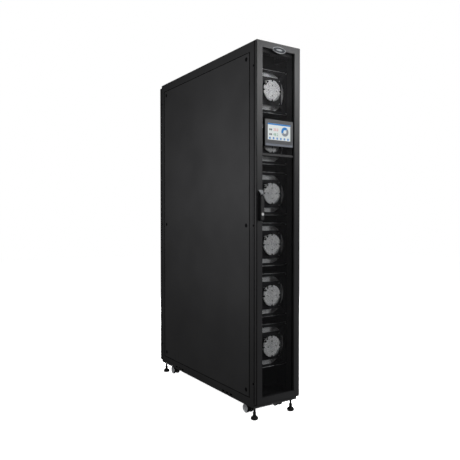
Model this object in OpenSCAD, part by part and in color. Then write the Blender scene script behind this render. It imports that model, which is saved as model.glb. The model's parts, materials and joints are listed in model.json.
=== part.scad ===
// In-row cooling unit, half rack width, with six discharge fans behind a perforated front door.
// Millimetres. Z is up, the floor is z = 0, the footprint is centred on the origin, and the front faces -Y.

/* [Cabinet] */
// overall width
body_w = 300; // [290:1:360]
// overall depth over both doors
body_d = 1200; // [1100:10:1300]
// overall height above the floor
top_z = 2070; // [2060:1:2200]
// height of the base frame's underside above the floor
foot_h = 70; // [66:1:80]
// height of the base frame
base_h = 50; // [44:1:60]
// height of the top frame, cover included
head_h = 52; // [44:1:60]
// width of the flanges on the base and top frames
rail_w = 42; // [36:1:50]
// thickness of the frame steel
frame_t = 2.5; // [2:0.5:3]
// width of a corner post seen from the front
post_w = 40; // [36:1:44]
// width of a corner post seen from the side
post_d = 43; // [36:1:48]
// width of the flange that carries a side panel
flange_w = 48; // [40:1:60]
// thickness of the panel sheet
sheet_t = 1.5; // [1:0.1:2]
// depth of the folded edges of a side panel
panel_fold = 18; // [14:1:20]
// gap between a side panel and its neighbours
panel_gap = 3; // [2:0.5:4]
// diameter of a quarter-turn fastener head
fastener_d = 16; // [12:1:20]
// distance from the end of a side panel to its fasteners
fastener_in = 30; // [24:1:40]
// bolt holes for the next cabinet, from the front and rear faces of the frame
bay_in = 8; // [7:0.5:10]
// diameter of those bolt holes
bay_d = 7; // [6:0.5:9]
// width of the cable openings in the top cover
cable_w = 140; // [100:5:160]
// length of the cable openings in the top cover
cable_l = 90; // [60:5:120]
// distance from the end of the frame to the middle of a cable opening
cable_in = 276; // [220:2:300]

/* [Doors] */
// thickness of a door
door_t = 20; // [20:1:26]
// gap between a door and the frame
door_gap = 4; // [3.5:0.5:6]
// thickness of the door sheet
door_sheet = 2; // [1.5:0.5:2.5]
// underside of the front door
front_z0 = 95; // [90:1:110]
// underside of the rear door
rear_z0 = 85; // [80:1:110]
// distance from the top of the cabinet to the top of the rear door
rear_drop = 17; // [10:1:40]
// width of a door stile
stile_w = 38; // [36:1:44]
// height of a door's top rail
top_rail = 35; // [30:1:50]
// height of a door's bottom rail
bottom_rail = 36; // [30:1:50]
// how far the mesh is set back from a door's face
mesh_inset = 12; // [10:1:13]
// thickness of the mesh sheet
mesh_t = 1.2; // [1:0.1:1.5]
// distance between the holes in the mesh
hole_pitch = 30; // [26:1:40]
// width of a hole in the mesh across its flats
hole_af = 24; // [16:1:24]
// height of the crossbar's underside
crossbar_z = 1453; // [1300:1:1480]
// height of the crossbar
crossbar_h = 13; // [10:1:20]
// hinge axis to the side of the cabinet
hinge_in = 7; // [7:0.5:8]
// hinge axis to the face of the door
hinge_back = 7; // [7:0.5:7.5]
// diameter of a hinge pin
hinge_pin_d = 5; // [4:0.5:5]
// clearance between a hinge pin and its bore
hinge_fit = 0.4; // [0.2:0.1:0.6]

/* [Display and badge] */
// width of the display
display_w = 196; // [160:1:200]
// height of the display
display_h = 146; // [120:1:160]
// underside of the display
display_z = 1505; // [1480:1:1600]
// how far the display stands out from the mesh
display_t = 16; // [14:1:24]
// width of the screen
screen_w = 158; // [130:1:160]
// height of the screen
screen_h = 90; // [70:1:95]
// underside of the screen above the underside of the display
screen_up = 35; // [30:1:40]
// length of the oval badge
badge_w = 88; // [70:1:100]
// thickness of the badge
badge_t = 3; // [2:0.5:4]

/* [Handle] */
// distance from the handle's centre line to the side of the cabinet
handle_in = 22.5; // [21:0.5:24]
// width of the handle base
handle_w = 25; // [24:1:27]
// underside of the handle base
handle_z = 1097; // [1000:1:1120]
// height of the handle base
handle_h = 163; // [150:1:180]
// how far the lever stands out from the door
handle_out = 25; // [22:1:30]
// thickness of the handle base
handle_base_t = 6; // [5:0.5:7]
// width of the lever
lever_w = 20; // [16:1:22]
// diameter of the lock cylinder
lock_d = 15; // [12:0.5:15]
// height of the lock above the underside of the handle base
lock_up = 35; // [25:1:40]
// diameter of the spindle
spindle_d = 10; // [8:0.5:10]
// clearance around the turning parts of the handle
handle_fit = 0.6; // [0.4:0.1:0.8]
// pitch radius of the pinion that drives the latch rods
pinion_r = 6; // [6:0.1:6.2]

/* [Fans] */
// distance from the top of the base frame to the lowest fan's centre
fan_up = 267; // [250:1:280]
// distance from the highest fan's centre to the top frame
fan_down = 191; // [180:1:200]
// distance from the front of the frame to the fan wall
wall_in = 159; // [155:1:180]
// outside of a fan's square tray
tray_w = 246; // [240:1:250]
// thickness of the tray sheet
tray_t = 2; // [1.5:0.5:2.5]
// depth of a fan tray
tray_d = 95; // [90:1:100]
// width of the lip round the front of a fan tray
lip_w = 18; // [16:1:20]
// width of the square motor bracket
bracket_w = 156; // [136:1:160]
// diameter of the motor's front disc
motor_d = 119; // [110:1:124]
// thickness of the motor, disc and body
motor_t = 20; // [18:1:22]
// distance from a fan's axis to the screws in its motor
screw_r = 29; // [26:1:34]
// length of the connector on a motor's rim
plug_l = 30; // [24:1:32]
// diameter of an impeller
impeller_d = 224; // [200:1:230]
// number of blades on an impeller
blade_count = 7; // [5:1:9]
// thickness of a blade
blade_t = 3; // [2:0.5:4]
// diameter of the rotor cup inside an impeller
rotor_d = 102; // [90:1:106]
// diameter of the motor shaft
shaft_d = 12; // [8:1:14]
// length of the motor shaft behind the bracket
shaft_l = 56; // [54:1:60]
// clearance around the motor shaft
shaft_fit = 0.4; // [0.2:0.1:0.6]
// inside diameter of the inlet ring
inlet_d = 152; // [130:1:160]

/* [Inside] */
// space between the coil and the top frame
coil_down = 154; // [100:2:240]
// thickness of the coil through the air path
coil_t = 130; // [100:5:150]
// distance from the fan wall to the coil
coil_in = 267; // [240:1:280]
// number of coil fins drawn between the end plates
fin_count = 27; // [6:1:32]
// number of tube passes up the coil
pass_count = 10; // [2:1:16]
// distance from the top of the base frame to the drain pan
pan_up = 102; // [80:1:120]
// height of the drain pan's rim
pan_h = 28; // [20:1:40]
// diameter of the drain spigot
drain_d = 16; // [12:1:20]
// diameter of the water pipes
pipe_d = 28; // [22:1:35]
// distance from the coil to the middle of the water pipes
pipe_in = 60; // [45:1:70]
// depth of the electrical box
box_d = 250; // [200:2:270]
// height of the electrical box
box_h = 220; // [180:2:300]
// space between the electrical box and the air filter
box_in = 61; // [50:1:80]
// number of cable glands
gland_count = 5; // [1:1:5]
// distance between cable glands
gland_step = 28; // [25:0.5:30]
// bore of a cable gland
gland_d = 12; // [8:0.5:14]
// depth of the air filter
filter_d = 48; // [40:1:55]
// number of pleats in the air filter
pleat_count = 14; // [6:1:20]

/* [Feet and casters] */
// distance from a foot to the side of the cabinet
foot_in_x = 22; // [19:0.5:26]
// distance from a foot to the end of the frame
foot_in_y = 26; // [20:0.5:34]
// diameter of a foot's pad
pad_d = 42; // [34:1:46]
// diameter of a foot's threaded stem
stem_d = 10; // [8:1:12]
// clearance around a foot's stem
stem_fit = 0.4; // [0.2:0.1:0.6]
// diameter of a caster wheel
wheel_d = 52; // [48:1:54]
// width of a caster over both wheels
caster_w = 47; // [44:1:50]
// height of the caster's axle above the floor
axle_z = 34; // [34:1:36]
// distance from a caster to the side of the cabinet
caster_in_x = 46.5; // [44:0.5:50]
// distance from a caster's wheel to the end of the frame
caster_in_y = 121; // [100:1:135]
// distance the axle trails behind the caster's swivel
trail = 15; // [10:1:18]

/* [Hidden] */
$fn = 64;
half_w = body_w / 2;
half_d = body_d / 2;
frame_d = half_d - door_t - door_gap;        // half depth of the frame without doors
base_top = foot_h + base_h;
head_z = top_z - head_h;                     // underside of the top frame
cover_t = 2;
rear_z1 = top_z - rear_drop;
mid_z = (base_top + head_z) / 2;
post_y = frame_d - post_d;                   // inner edge of a corner post
seat_x = half_w - panel_fold;                // where a side panel bears on the post flange
clear_w = seat_x - frame_t;                  // half width of the space inside
open_x = half_w - stile_w;                   // half width of a door's opening
mesh_y = -half_d + mesh_inset;               // front of the front door's mesh
hinge_x = half_w - hinge_in;
hinge_y = -half_d + hinge_back;
hinge_mid = mid_z - 19;
hinges = [base_top + 80, hinge_mid, head_z - 78];
fastener_y = post_y - panel_gap - fastener_in;
fasteners = [base_top + 36, mid_z + 2, head_z - 32];
bay_holes = [base_top + 85, mid_z + 1.5, head_z - 82];
cable_y = frame_d - cable_in;
mesh_lap = 1;                                // how far the mesh reaches behind the door's inner flange
slot_in = 230;                               // slots in the base frame, from its end
slot_step = 43;
knock_w = 48;                                // knockouts at the foot of a side panel
knock_h = 80;
knock_t = 1.2;                               // width of the groove round a knockout
knock_y = post_y - 215;
handle_x = -half_w + handle_in;
pivot_z = handle_z + handle_h - 34;          // where the lever turns and lifts
lever_y0 = -half_d - handle_out;             // front of the lever
lever_y1 = -half_d - handle_base_t - 1;      // back of the lever
lift_y = (lever_y0 + lever_y1) / 2;
lift_r = (lever_y1 - lever_y0) / 2;
lock_z = handle_z + lock_up;
rod_in = 8;                                  // latch rods behind the door's face
rod_t = 4;
tooth = 2 * PI * pinion_r / 8;               // pinion and rack pitch, eight teeth on the pinion
fan_count = 6;                               // one node for each impeller
fan_z = base_top + fan_up;
fan_pitch = (head_z - fan_down - fan_z) / (fan_count - 1);
wall_y = -frame_d + wall_in;                 // front of the fan wall
tray_y = wall_y - tray_d;                    // front edge of a fan tray
plate_y = tray_y - 8;                        // front of the motor bracket
swirl_y0 = plate_y + 2.5;                    // front of an impeller's rotor
flare_r = 12;                                // curve of an impeller's shroud into its eye
coil_y0 = wall_y + coil_in;
coil_y1 = coil_y0 + coil_t;
pan_z = base_top + pan_up;                   // underside of the drain pan
coil_z = pan_z + 2;
coil_h = head_z - coil_down - coil_z;
pipe_x = 60;
pipe_y = coil_y1 + pipe_in;
filter_y1 = post_y - flange_w + 7;
filter_y0 = filter_y1 - filter_d;
box_y1 = filter_y0 - box_in;
box_y0 = box_y1 - box_d;
drain_y = coil_y1;
foot_x = half_w - foot_in_x;
foot_y = frame_d - foot_in_y;
caster_x = half_w - caster_in_x;
caster_y = frame_d - caster_in_y;

// ---------- helpers ----------

// a box from its low and high corner
module span(a, b) {
  translate(a) cube(b - a);
}

// a cylinder along x, y or z from its start point
module bar_x(p, d, l) { translate(p) rotate([0, 90, 0]) cylinder(d = d, h = l); }
module bar_y(p, d, l) { translate(p) rotate([-90, 0, 0]) cylinder(d = d, h = l); }
module bar_z(p, d, l) { translate(p) cylinder(d = d, h = l); }

// the children and their mirror image
module both_x() { children(); mirror([1, 0, 0]) children(); }
module both_y() { children(); mirror([0, 1, 0]) children(); }

// a shape turned to the rear of the cabinet
module at_rear() { rotate(180) children(); }

// ---------- frame ----------

// a slot with round ends, l long and w wide
module slot(l, w) {
  square([l - w, w], center = true);
  for (s = [-1, 1]) translate([s * (l - w) / 2, 0]) circle(d = w);
}

// a rectangle with round corners, centred on the origin
module rounded(w, h, r) {
  square([w - 2 * r, h], center = true);
  square([w, h - 2 * r], center = true);
  for (x = [-w / 2 + r, w / 2 - r]) for (y = [-h / 2 + r, h / 2 - r]) translate([x, y]) circle(r);
}

// the children's outline in x and z, extruded from y0 to y1
module upright(y0, y1) { translate([0, y1, 0]) rotate([90, 0, 0]) linear_extrude(y1 - y0) children(); }

// four rails with a channel section that is open to the inside
module channel_ring(z0, z1) {
  difference() {
    span([-half_w, -frame_d, z0], [half_w, frame_d, z1]);
    span([-half_w + frame_t, -frame_d + frame_t, z0 + frame_t],
         [half_w - frame_t, frame_d - frame_t, z1 - frame_t]);
    span([-half_w + rail_w, -frame_d + rail_w, z0 - 1], [half_w - rail_w, frame_d - rail_w, z1 + 1]);
  }
}

module base_frame() {
  color("#2b2d30") difference() {
    union() {
      channel_ring(foot_h, base_top);
      both_y() span([-half_w + frame_t, caster_y - trail - 45, foot_h],
                    [half_w - frame_t, caster_y - trail + 45, foot_h + 3]);
    }
    both_x() both_y() bar_z([foot_x, foot_y, foot_h - 1], stem_d + 2 * stem_fit, base_h + 2);
    both_x() both_y() for (i = [0 : 2])
      translate([half_w - 5, frame_d - slot_in - i * slot_step, foot_h + 15]) rotate([90, 0, 90])
        linear_extrude(10) slot(25, 10);
  }
}

// floor sheet, fixed under the upper flanges of the base frame, with a cut-out for the drain hose
module base_pan() {
  z1 = base_top - frame_t;
  color("#3a3d41") difference() {
    span([-half_w + rail_w - 10, -frame_d + rail_w - 6, z1 - sheet_t],
         [half_w - rail_w + 10, frame_d - rail_w + 6, z1]);
    span([-60, drain_y - 40, z1 - sheet_t - 1], [60, drain_y + 40, z1 + 1]);
  }
}

module top_frame() {
  color("#2b2d30") channel_ring(head_z, top_z - cover_t);
}

module top_cover() {
  color("#3a3d41") difference() {
    span([-half_w, -frame_d, top_z - cover_t], [half_w, frame_d, top_z]);
    both_x() bar_z([pipe_x, pipe_y, top_z - 10], pipe_d + 12, 20);
    both_y() translate([0, cable_y, top_z]) cube([cable_w, cable_l, 20], center = true);
  }
}

// a rear right post; the others are mirror images
module post() {
  difference() {
    union() {
      span([half_w - post_w, post_y, base_top], [half_w, frame_d, head_z]);
      span([clear_w, post_y - flange_w, base_top], [seat_x, post_y + 1, head_z]);
    }
    span([half_w - post_w + frame_t, post_y + frame_t, base_top - 1],
         [half_w - frame_t, frame_d - frame_t, head_z + 1]);
    for (z = bay_holes) bar_x([half_w - 5, frame_d - bay_in, z], bay_d, 10);
    for (z = fasteners) bar_x([clear_w - 5, fastener_y, z], 8.4, 20);
  }
}

module front_left_post() { color("#303337") mirror([1, 0, 0]) mirror([0, 1, 0]) post(); }
module front_right_post() { color("#303337") mirror([0, 1, 0]) post(); }
module rear_left_post() { color("#303337") mirror([1, 0, 0]) post(); }
module rear_right_post() { color("#303337") post(); }

// a right side panel: a tray with folded edges, fastener holes and two knockouts
module side_panel() {
  y1 = post_y - panel_gap;
  z0 = base_top;
  z1 = head_z - panel_gap;
  difference() {
    span([seat_x, -y1, z0], [half_w, y1, z1]);
    span([seat_x - 1, -y1 + sheet_t, z0 + sheet_t], [half_w - sheet_t, y1 - sheet_t, z1 - sheet_t]);
    for (z = fasteners) both_y() bar_x([seat_x, fastener_y, z], fastener_d + 0.4, 30);
    both_y() difference() {
      span([half_w - 0.5, knock_y, z0 + 2], [half_w + 1, knock_y + knock_w, z0 + knock_h]);
      span([half_w - 2, knock_y + knock_t, z0 + 1],
           [half_w + 2, knock_y + knock_w - knock_t, z0 + knock_h - knock_t]);
    }
  }
}

module left_side_panel() { color("#34373b") mirror([1, 0, 0]) side_panel(); }
module right_side_panel() { color("#34373b") side_panel(); }

// all twelve quarter-turn fasteners of the side panels
module panel_fasteners() {
  color("#111214") both_x() both_y() for (z = fasteners) difference() {
    union() {
      bar_x([half_w - 3, fastener_y, z], fastener_d, 3);
      bar_x([clear_w - 1, fastener_y, z], 8, half_w - clear_w - 1);
      bar_x([clear_w - 2.5, fastener_y, z], 12, 2.5);
    }
    translate([half_w, fastener_y, z]) cube([3, 0.75 * fastener_d, 2], center = true);
  }
}

// one hinge bracket on the front right post: foot plate, arm and pin, with the bearing face at z
module hinge_bracket(z) {
  span([hinge_x - 12, -frame_d - 1.5, z - 20], [hinge_x + 6, -frame_d, z + 16]);
  difference() {
    union() {
      span([hinge_x - 2.5, hinge_y, z - 3], [hinge_x + 2.5, -frame_d, z]);
      bar_z([hinge_x, hinge_y, z - 3], 7, 3);
    }
    bar_z([hinge_x, hinge_y, z - 4], 2, 1.5);
  }
  bar_z([hinge_x, hinge_y, z - 0.5], hinge_pin_d, 12.5);
}

module hinge_brackets() {
  color("#9a9da1") for (z = hinges) {
    hinge_bracket(z);
    at_rear() hinge_bracket(z);
  }
}

// ---------- doors ----------

// a folded door frame in the place of the front door
module door_frame(z0, z1) {
  difference() {
    union() {
      difference() {
        span([-half_w, -half_d, z0], [half_w, -half_d + door_t, z1]);
        difference() {
          span([-half_w + sheet_t, -half_d + door_sheet, z0 + sheet_t],
               [half_w - sheet_t, -half_d + door_t + 1, z1 - sheet_t]);
          span([-open_x - sheet_t, -half_d, z0 + bottom_rail - sheet_t],
               [open_x + sheet_t, mesh_y, z1 - top_rail + sheet_t]);
        }
      }
      for (z = hinges)
        span([hinge_x - 6, -half_d + door_sheet, z], [half_w - sheet_t, hinge_y + 6, z + 14]);
      rod_guides(z0, z1);
    }
    span([-open_x, -half_d - 1, z0 + bottom_rail], [open_x, -half_d + door_t + 1, z1 - top_rail]);
    for (z = hinges) {
      span([half_w - sheet_t - 0.01, -half_d + door_sheet, z - 4], [half_w + 1, -half_d + door_t + 1, z]);
      bar_z([hinge_x, hinge_y, z - 1], hinge_pin_d + 2 * hinge_fit, 14);
    }
    bar_y([handle_x, -half_d - 1, pivot_z], spindle_d + 2 * handle_fit, 10);
  }
}

// blocks in the hollow stile that guide the latch rods
module rod_guides(z0, z1) {
  above = [pivot_z + 104, z1 - 80];
  below = [z0 + 55, pivot_z - 326];
  for (k = [0 : 0.5 : 1]) {
    rod_guide(-1, above[0] + k * (above[1] - above[0]));
    rod_guide(1, below[0] + k * (below[1] - below[0]));
  }
}

module rod_guide(side, z) {
  x = handle_x + side * (pinion_r + 4.1);
  slot_w = 2.7 + handle_fit;
  difference() {
    span([x - slot_w - 1, -half_d + door_sheet, z], [x + slot_w + 1, -half_d + rod_in + rod_t + 3, z + 10]);
    span([x - slot_w, -half_d + rod_in - handle_fit, z - 1],
         [x + slot_w, -half_d + rod_in + rod_t + handle_fit, z + 11]);
  }
}

// a sheet with staggered hexagonal holes, behind the opening between z0 and z1
module door_mesh(z0, z1) {
  w = 2 * open_x;
  h = z1 - z0;
  row = hole_pitch * sqrt(3) / 2;
  rows = floor((h - hole_af - 6) / row) + 1;
  cols = floor((w - hole_af - 6) / hole_pitch) + 1;
  translate([0, mesh_y + mesh_t, (z0 + z1) / 2]) rotate([90, 0, 0]) linear_extrude(mesh_t)
    difference() {
      square([w + 2 * mesh_lap, h + 2 * mesh_lap], center = true);
      for (r = [0 : rows - 1]) for (c = [0 : cols - 1 - r % 2])
        translate([(c + r % 2 / 2 - (cols - 1) / 2) * hole_pitch, (r - (rows - 1) / 2) * row])
          rotate(30) circle(d = hole_af * 2 / sqrt(3), $fn = 6);
    }
}

module front_door_frame() { color("#4a4d52") door_frame(front_z0, top_z); }
module rear_door_frame() { color("#4a4d52") at_rear() door_frame(rear_z0, rear_z1); }
module front_door_mesh() { color("#1c1d1f") door_mesh(front_z0 + bottom_rail, top_z - top_rail); }
module rear_door_mesh() { color("#1c1d1f") at_rear() door_mesh(rear_z0 + bottom_rail, rear_z1 - top_rail); }

module door_crossbar() {
  color("#55585c")
    span([-open_x, mesh_y - 3, crossbar_z], [open_x, mesh_y, crossbar_z + crossbar_h]);
}

// an oval of four tangent arcs, w long and 0.41 w high
module oval(w) {
  r = 0.114 * w;                              // end arcs
  c = w / 2 - r;
  b = 0.205 * w;
  d = (c * c - (b - r) * (b - r)) / (2 * (b - r));
  k = c * (b + d) / (b + d - r);              // where the arcs meet
  for (s = [-1, 1]) translate([s * c, 0]) circle(r);
  intersection() {
    translate([0, -d]) circle(b + d, $fn = 256);
    translate([0, d]) circle(b + d, $fn = 256);
    square([2 * k, w], center = true);
  }
}

// a blank oval badge with a raised rim, on the lower edge of the top rail
module door_badge() {
  color("#c9ccd0") translate([0, -half_d, top_z - top_rail]) rotate([90, 0, 0]) {
    linear_extrude(badge_t - 1) oval(badge_w);
    linear_extrude(badge_t) difference() {
      oval(badge_w);
      oval(badge_w - 7);
    }
  }
}

// ---------- display ----------

module display_case() {
  y0 = mesh_y - display_t;
  mid = display_z + display_h / 2;
  color("#3c4046") difference() {
    union() {
      upright(y0 + 1.5, mesh_y) translate([0, mid]) rounded(display_w, display_h, 4);
      upright(y0, mesh_y - 1) translate([0, mid]) rounded(display_w - 3, display_h - 3, 3);
    }
    upright(y0 - 1, y0 + 3)
      translate([0, display_z + screen_up + screen_h / 2]) rounded(screen_w, screen_h, 1);
    span([-display_w / 2 + 3, y0 - 1, display_z + 2.5], [display_w / 2 - 3, y0 + 0.6, display_z + 14]);
    span([-30, y0 + 6, display_z - 1], [30, mesh_y - 3, display_z + 6]);
  }
}

module display_screen() {
  y0 = mesh_y - display_t;
  color("#dfe6ea") upright(y0 + 1, y0 + 3)
    translate([0, display_z + screen_up + screen_h / 2]) rounded(screen_w - 0.4, screen_h - 0.4, 0.8);
}

// ---------- handle and latch ----------

module handle_base() {
  y0 = -half_d - handle_base_t;
  x0 = handle_x - handle_w / 2;
  difference() {
    union() {
      upright(y0, -half_d) translate([handle_x, handle_z + handle_h / 2]) rounded(handle_w, handle_h, 3);
      // sloping cap over the top of the lever
      translate([x0, 0, 0]) rotate([90, 0, 90]) linear_extrude(handle_w)
        polygon([[y0 + 1, pivot_z + 14], [y0 + 1, handle_z + handle_h - 3], [y0, handle_z + handle_h - 3],
                 [lever_y0 + 3, pivot_z + 15.5], [lever_y0 + 3, pivot_z + 14]]);
    }
    bar_y([handle_x, y0 - 1, pivot_z], spindle_d + 2 * handle_fit, handle_base_t + 2);
  }
}

// turning spindle: disc and clevis for the lever, shaft through the door, pinion for the rods
module spindle() {
  y0 = -half_d - handle_base_t;
  bar_y([handle_x, y0 - 0.7, pivot_z], 18, 0.7);
  span([handle_x - 4, lift_y, pivot_z - 5], [handle_x + 4, y0 - 0.5, pivot_z + 5]);
  bar_x([handle_x - 4, lift_y, pivot_z], 10, 8);
  bar_x([handle_x - lever_w / 2 + 2, lift_y, pivot_z], 4, lever_w - 4);
  bar_y([handle_x, y0 - 0.7, pivot_z], spindle_d, handle_base_t + 17);
  translate([handle_x, -half_d + 12.5, pivot_z]) rotate([90, 0, 0]) linear_extrude(5) pinion();
}

module pinion() {
  circle(r = pinion_r - 1.6);
  for (a = [0 : 45 : 315]) rotate(a)
    polygon([[pinion_r - 2.6, -1.2], [pinion_r + 1.2, -0.45], [pinion_r + 1.2, 0.45], [pinion_r - 2.6, 1.2]]);
}

// lever: seen from the front it has round ends, seen from the side its top is round about the lift pin
module lever() {
  r = lever_w / 2;
  bottom = handle_z + 3 + r;
  difference() {
    intersection() {
      union() {
        bar_y([handle_x, lever_y0 - 1, pivot_z], lever_w, handle_out);
        bar_y([handle_x, lever_y0 - 1, bottom], lever_w, handle_out);
        span([handle_x - r, lever_y0 - 1, bottom], [handle_x + r, lever_y1 + 1, pivot_z]);
      }
      union() {
        bar_x([handle_x - r - 1, lift_y, pivot_z], 2 * lift_r, lever_w + 2);
        span([handle_x - r - 1, lever_y0, handle_z], [handle_x + r + 1, lever_y1, pivot_z]);
      }
    }
    span([handle_x - 4 - handle_fit / 2, lift_y - 6, pivot_z - 7],
         [handle_x + 4 + handle_fit / 2, lever_y1 + 1, pivot_z + 20]);
    bar_x([handle_x - r + 1.8, lift_y, pivot_z], 4.4, lever_w - 3.6);
    bar_y([handle_x, lever_y0 - 1, lock_z], lock_d + 2 * handle_fit, handle_out);
  }
}

// lock cylinder with a keyway and a small rear tail
module lock() {
  difference() {
    bar_y([handle_x, lever_y0 - 1.5, lock_z], lock_d, lever_y1 - lever_y0 + 1.2);
    span([handle_x - 0.8, lever_y0 - 3, lock_z - 4], [handle_x + 0.8, lever_y0 + 6, lock_z + 4]);
  }
}

// a latch rod beside the pinion; side is -1 for the upper rod and 1 for the lower
module rod(side, length) {
  root = pinion_r + 1.6;
  y0 = -half_d + rod_in;
  translate([handle_x, 0, pivot_z]) {
    span([side > 0 ? root : -root - 5, y0, side > 0 ? -length : -12],
         [side > 0 ? root + 5 : -root, y0 + rod_t, side > 0 ? 12 : length]);
    for (k = [-2 : 1]) translate([0, y0 + rod_t, (k + 0.5) * tooth]) rotate([90, 0, 0]) linear_extrude(rod_t)
      polygon([[side * (root + 0.5), -1.25], [side * (pinion_r - 0.7), -0.5],
               [side * (pinion_r - 0.7), 0.5], [side * (root + 0.5), 1.25]]);
  }
}

module front_handle_base() { color("#1b1c1e") handle_base(); }
module front_spindle() { color("#a5a8ac") spindle(); }
module front_lever() { color("#232528") lever(); }
module front_lock() { color("#e8e9ea") lock(); }
module front_upper_rod() { color("#a5a8ac") rod(-1, top_z - 32 - pivot_z); }
module front_lower_rod() { color("#a5a8ac") rod(1, pivot_z - front_z0 - 22); }
module rear_handle_base() { color("#1b1c1e") at_rear() handle_base(); }
module rear_spindle() { color("#a5a8ac") at_rear() spindle(); }
module rear_lever() { color("#232528") at_rear() lever(); }
module rear_lock() { color("#e8e9ea") at_rear() lock(); }
module rear_upper_rod() { color("#a5a8ac") at_rear() rod(-1, rear_z1 - 32 - pivot_z); }
module rear_lower_rod() { color("#a5a8ac") at_rear() rod(1, pivot_z - rear_z0 - 22); }

// ---------- fans ----------

// the children at every fan's centre, with the fan's axis along y
module each_fan() {
  for (i = [0 : fan_count - 1]) translate([0, 0, fan_z + i * fan_pitch]) children();
}

// a profile in radius and y, turned about the fan's axis
module turned() { rotate([-90, 0, 0]) rotate_extrude() children(); }

module fan_wall() {
  color("#6b6f74") difference() {
    union() {
      span([-clear_w, wall_y, base_top], [clear_w, wall_y + sheet_t, head_z]);
      span([-half_w + rail_w + 1, wall_y, head_z - 1],
           [half_w - rail_w - 1, wall_y + sheet_t, top_z - cover_t]);
      both_x() span([clear_w - sheet_t, -post_y, base_top], [clear_w, wall_y + 1, head_z]);
    }
    each_fan() bar_y([0, wall_y - 1, 0], inlet_d + 6, 5);
    both_x() for (z = fasteners) bar_x([clear_w - 3, -fastener_y, z], 14, 5);
  }
}

// square trays around the fans, with a front lip that carries the brackets
module fan_trays() {
  t = tray_w / 2;
  color("#8d9196") each_fan() {
    difference() {
      span([-t, tray_y, -t], [t, wall_y, t]);
      span([-t + tray_t, tray_y - 1, -t + tray_t], [t - tray_t, wall_y + 1, t - tray_t]);
    }
    difference() {
      span([-t, tray_y, -t], [t, tray_y + tray_t, t]);
      span([-t + lip_w, tray_y - 1, -t + lip_w], [t - lip_w, tray_y + tray_t + 1, t - lip_w]);
    }
  }
}

// motor brackets: a plate, four diagonal arms and four spacers down to the tray
module fan_brackets() {
  b = bracket_w / 2;
  far = (tray_w - lip_w) / 2;
  color("#2e3033") each_fan() {
    difference() {
      union() {
        span([-b, plate_y, -b], [b, plate_y + 2, b]);
        for (a = [45 : 90 : 315]) rotate([0, a, 0])
          span([b, plate_y, -9], [far * sqrt(2) + 5, plate_y + 2, 9]);
      }
      bar_y([0, plate_y - 1, 0], 40, 4);
    }
    for (x = [-far, far]) for (z = [-far, far]) bar_y([x, plate_y + 1, z], 10, tray_y - plate_y - 1);
  }
}

// motor stators: front disc with notches, screws and a connector, and the fixed shaft
function motor_profile(y0) = [
  [0, y0], [motor_d / 2 - 2, y0], [motor_d / 2, y0 + 2], [motor_d / 2, y0 + 7], [motor_d / 2 - 2, y0 + 9],
  [motor_d / 2 - 9, y0 + 10], [motor_d / 2 - 12, plate_y], [19, plate_y], [19, plate_y + 2],
  [shaft_d / 2, plate_y + 2], [shaft_d / 2, plate_y + shaft_l], [0, plate_y + shaft_l]
];

module fan_motors() {
  y0 = plate_y - motor_t;
  color("#d5d8db") each_fan() difference() {
    union() {
      turned() polygon(motor_profile(y0));
      for (a = [0 : 90 : 270]) rotate([0, a, 0]) bar_y([screw_r, y0 - 1.2, 0], 6, 2);
      rotate([0, -135, 0]) translate([motor_d / 2, 0, 0]) {
        upright(y0 - 1.5, y0 + 12) rounded(16, plug_l, 2);
        for (k = [-9, 0, 9]) bar_y([3, y0 - 3, k], 5, 3);
      }
    }
    for (a = [0 : 90 : 270]) rotate([0, a, 0])
      span([motor_d / 2 - 4, y0 - 3, -2], [motor_d / 2 + 4, y0 + 20, 2]);
    rotate([0, 45, 0]) span([motor_d / 2 - 9, y0 - 3, -30], [motor_d / 2 + 4, y0 + 1, 30]);
  }
}

// inlet rings on the fan wall, with a nozzle that runs into each impeller
module inlet_rings() {
  r = inlet_d / 2;
  color("#b9bcc0") each_fan() turned() {
    translate([r, wall_y - 16]) square([2, 16 + sheet_t]);
    translate([r, wall_y - 1.5]) square([18, 1.5]);
  }
}

// backward-curved radial impeller: rotor cup, hub plate, blades and a shroud that curves into its eye
module impeller(i) {
  r = impeller_d / 2;
  y_disc = tray_y + 14;
  y_eye = wall_y - 20;
  color("#aeb2b6") translate([0, 0, fan_z + i * fan_pitch]) {
    turned() {
      translate([shaft_d / 2 + shaft_fit, swirl_y0]) square([rotor_d / 2 - shaft_d / 2 - shaft_fit, 50]);
      translate([rotor_d / 2 - 1, y_disc]) square([r - rotor_d / 2 + 1, 2]);
      translate([r - 2, y_disc - 2]) square([2, 4]);
      translate([inlet_d / 2 + 4 + flare_r, y_eye]) square([r - inlet_d / 2 - 4 - flare_r, 2]);
      translate([inlet_d / 2 + 4 + flare_r, y_eye + flare_r]) difference() {
        circle(flare_r);
        circle(flare_r - 2);
        translate([0, -flare_r - 1]) square(2 * flare_r + 2);
        translate([-flare_r - 1, 0]) square(2 * flare_r + 2);
      }
    }
    rotate([90, 0, 0]) translate([0, 0, -y_eye - 1]) linear_extrude(y_eye - y_disc) blades(r);
  }
}

// blades as arcs that lean back from the rotor to the rim
module blades(r) {
  intersection() {
    for (b = [0 : blade_count - 1]) rotate(b * 360 / blade_count) translate([0, -0.42 * r]) difference() {
      circle(0.66 * r);
      circle(0.66 * r - blade_t);
      translate([-2 * r, -2 * r]) square([2 * r, 4 * r]);
    }
    difference() {
      circle(r - 0.5);
      circle(rotor_d / 2 + 6);
    }
  }
}

module impeller_1() impeller(0);
module impeller_2() impeller(1);
module impeller_3() impeller(2);
module impeller_4() impeller(3);
module impeller_5() impeller(4);
module impeller_6() impeller(5);

// ---------- inside ----------

// height of a tube pass in the coil
function pass_z(i) = coil_z + (i + 0.5) * coil_h / pass_count;

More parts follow.
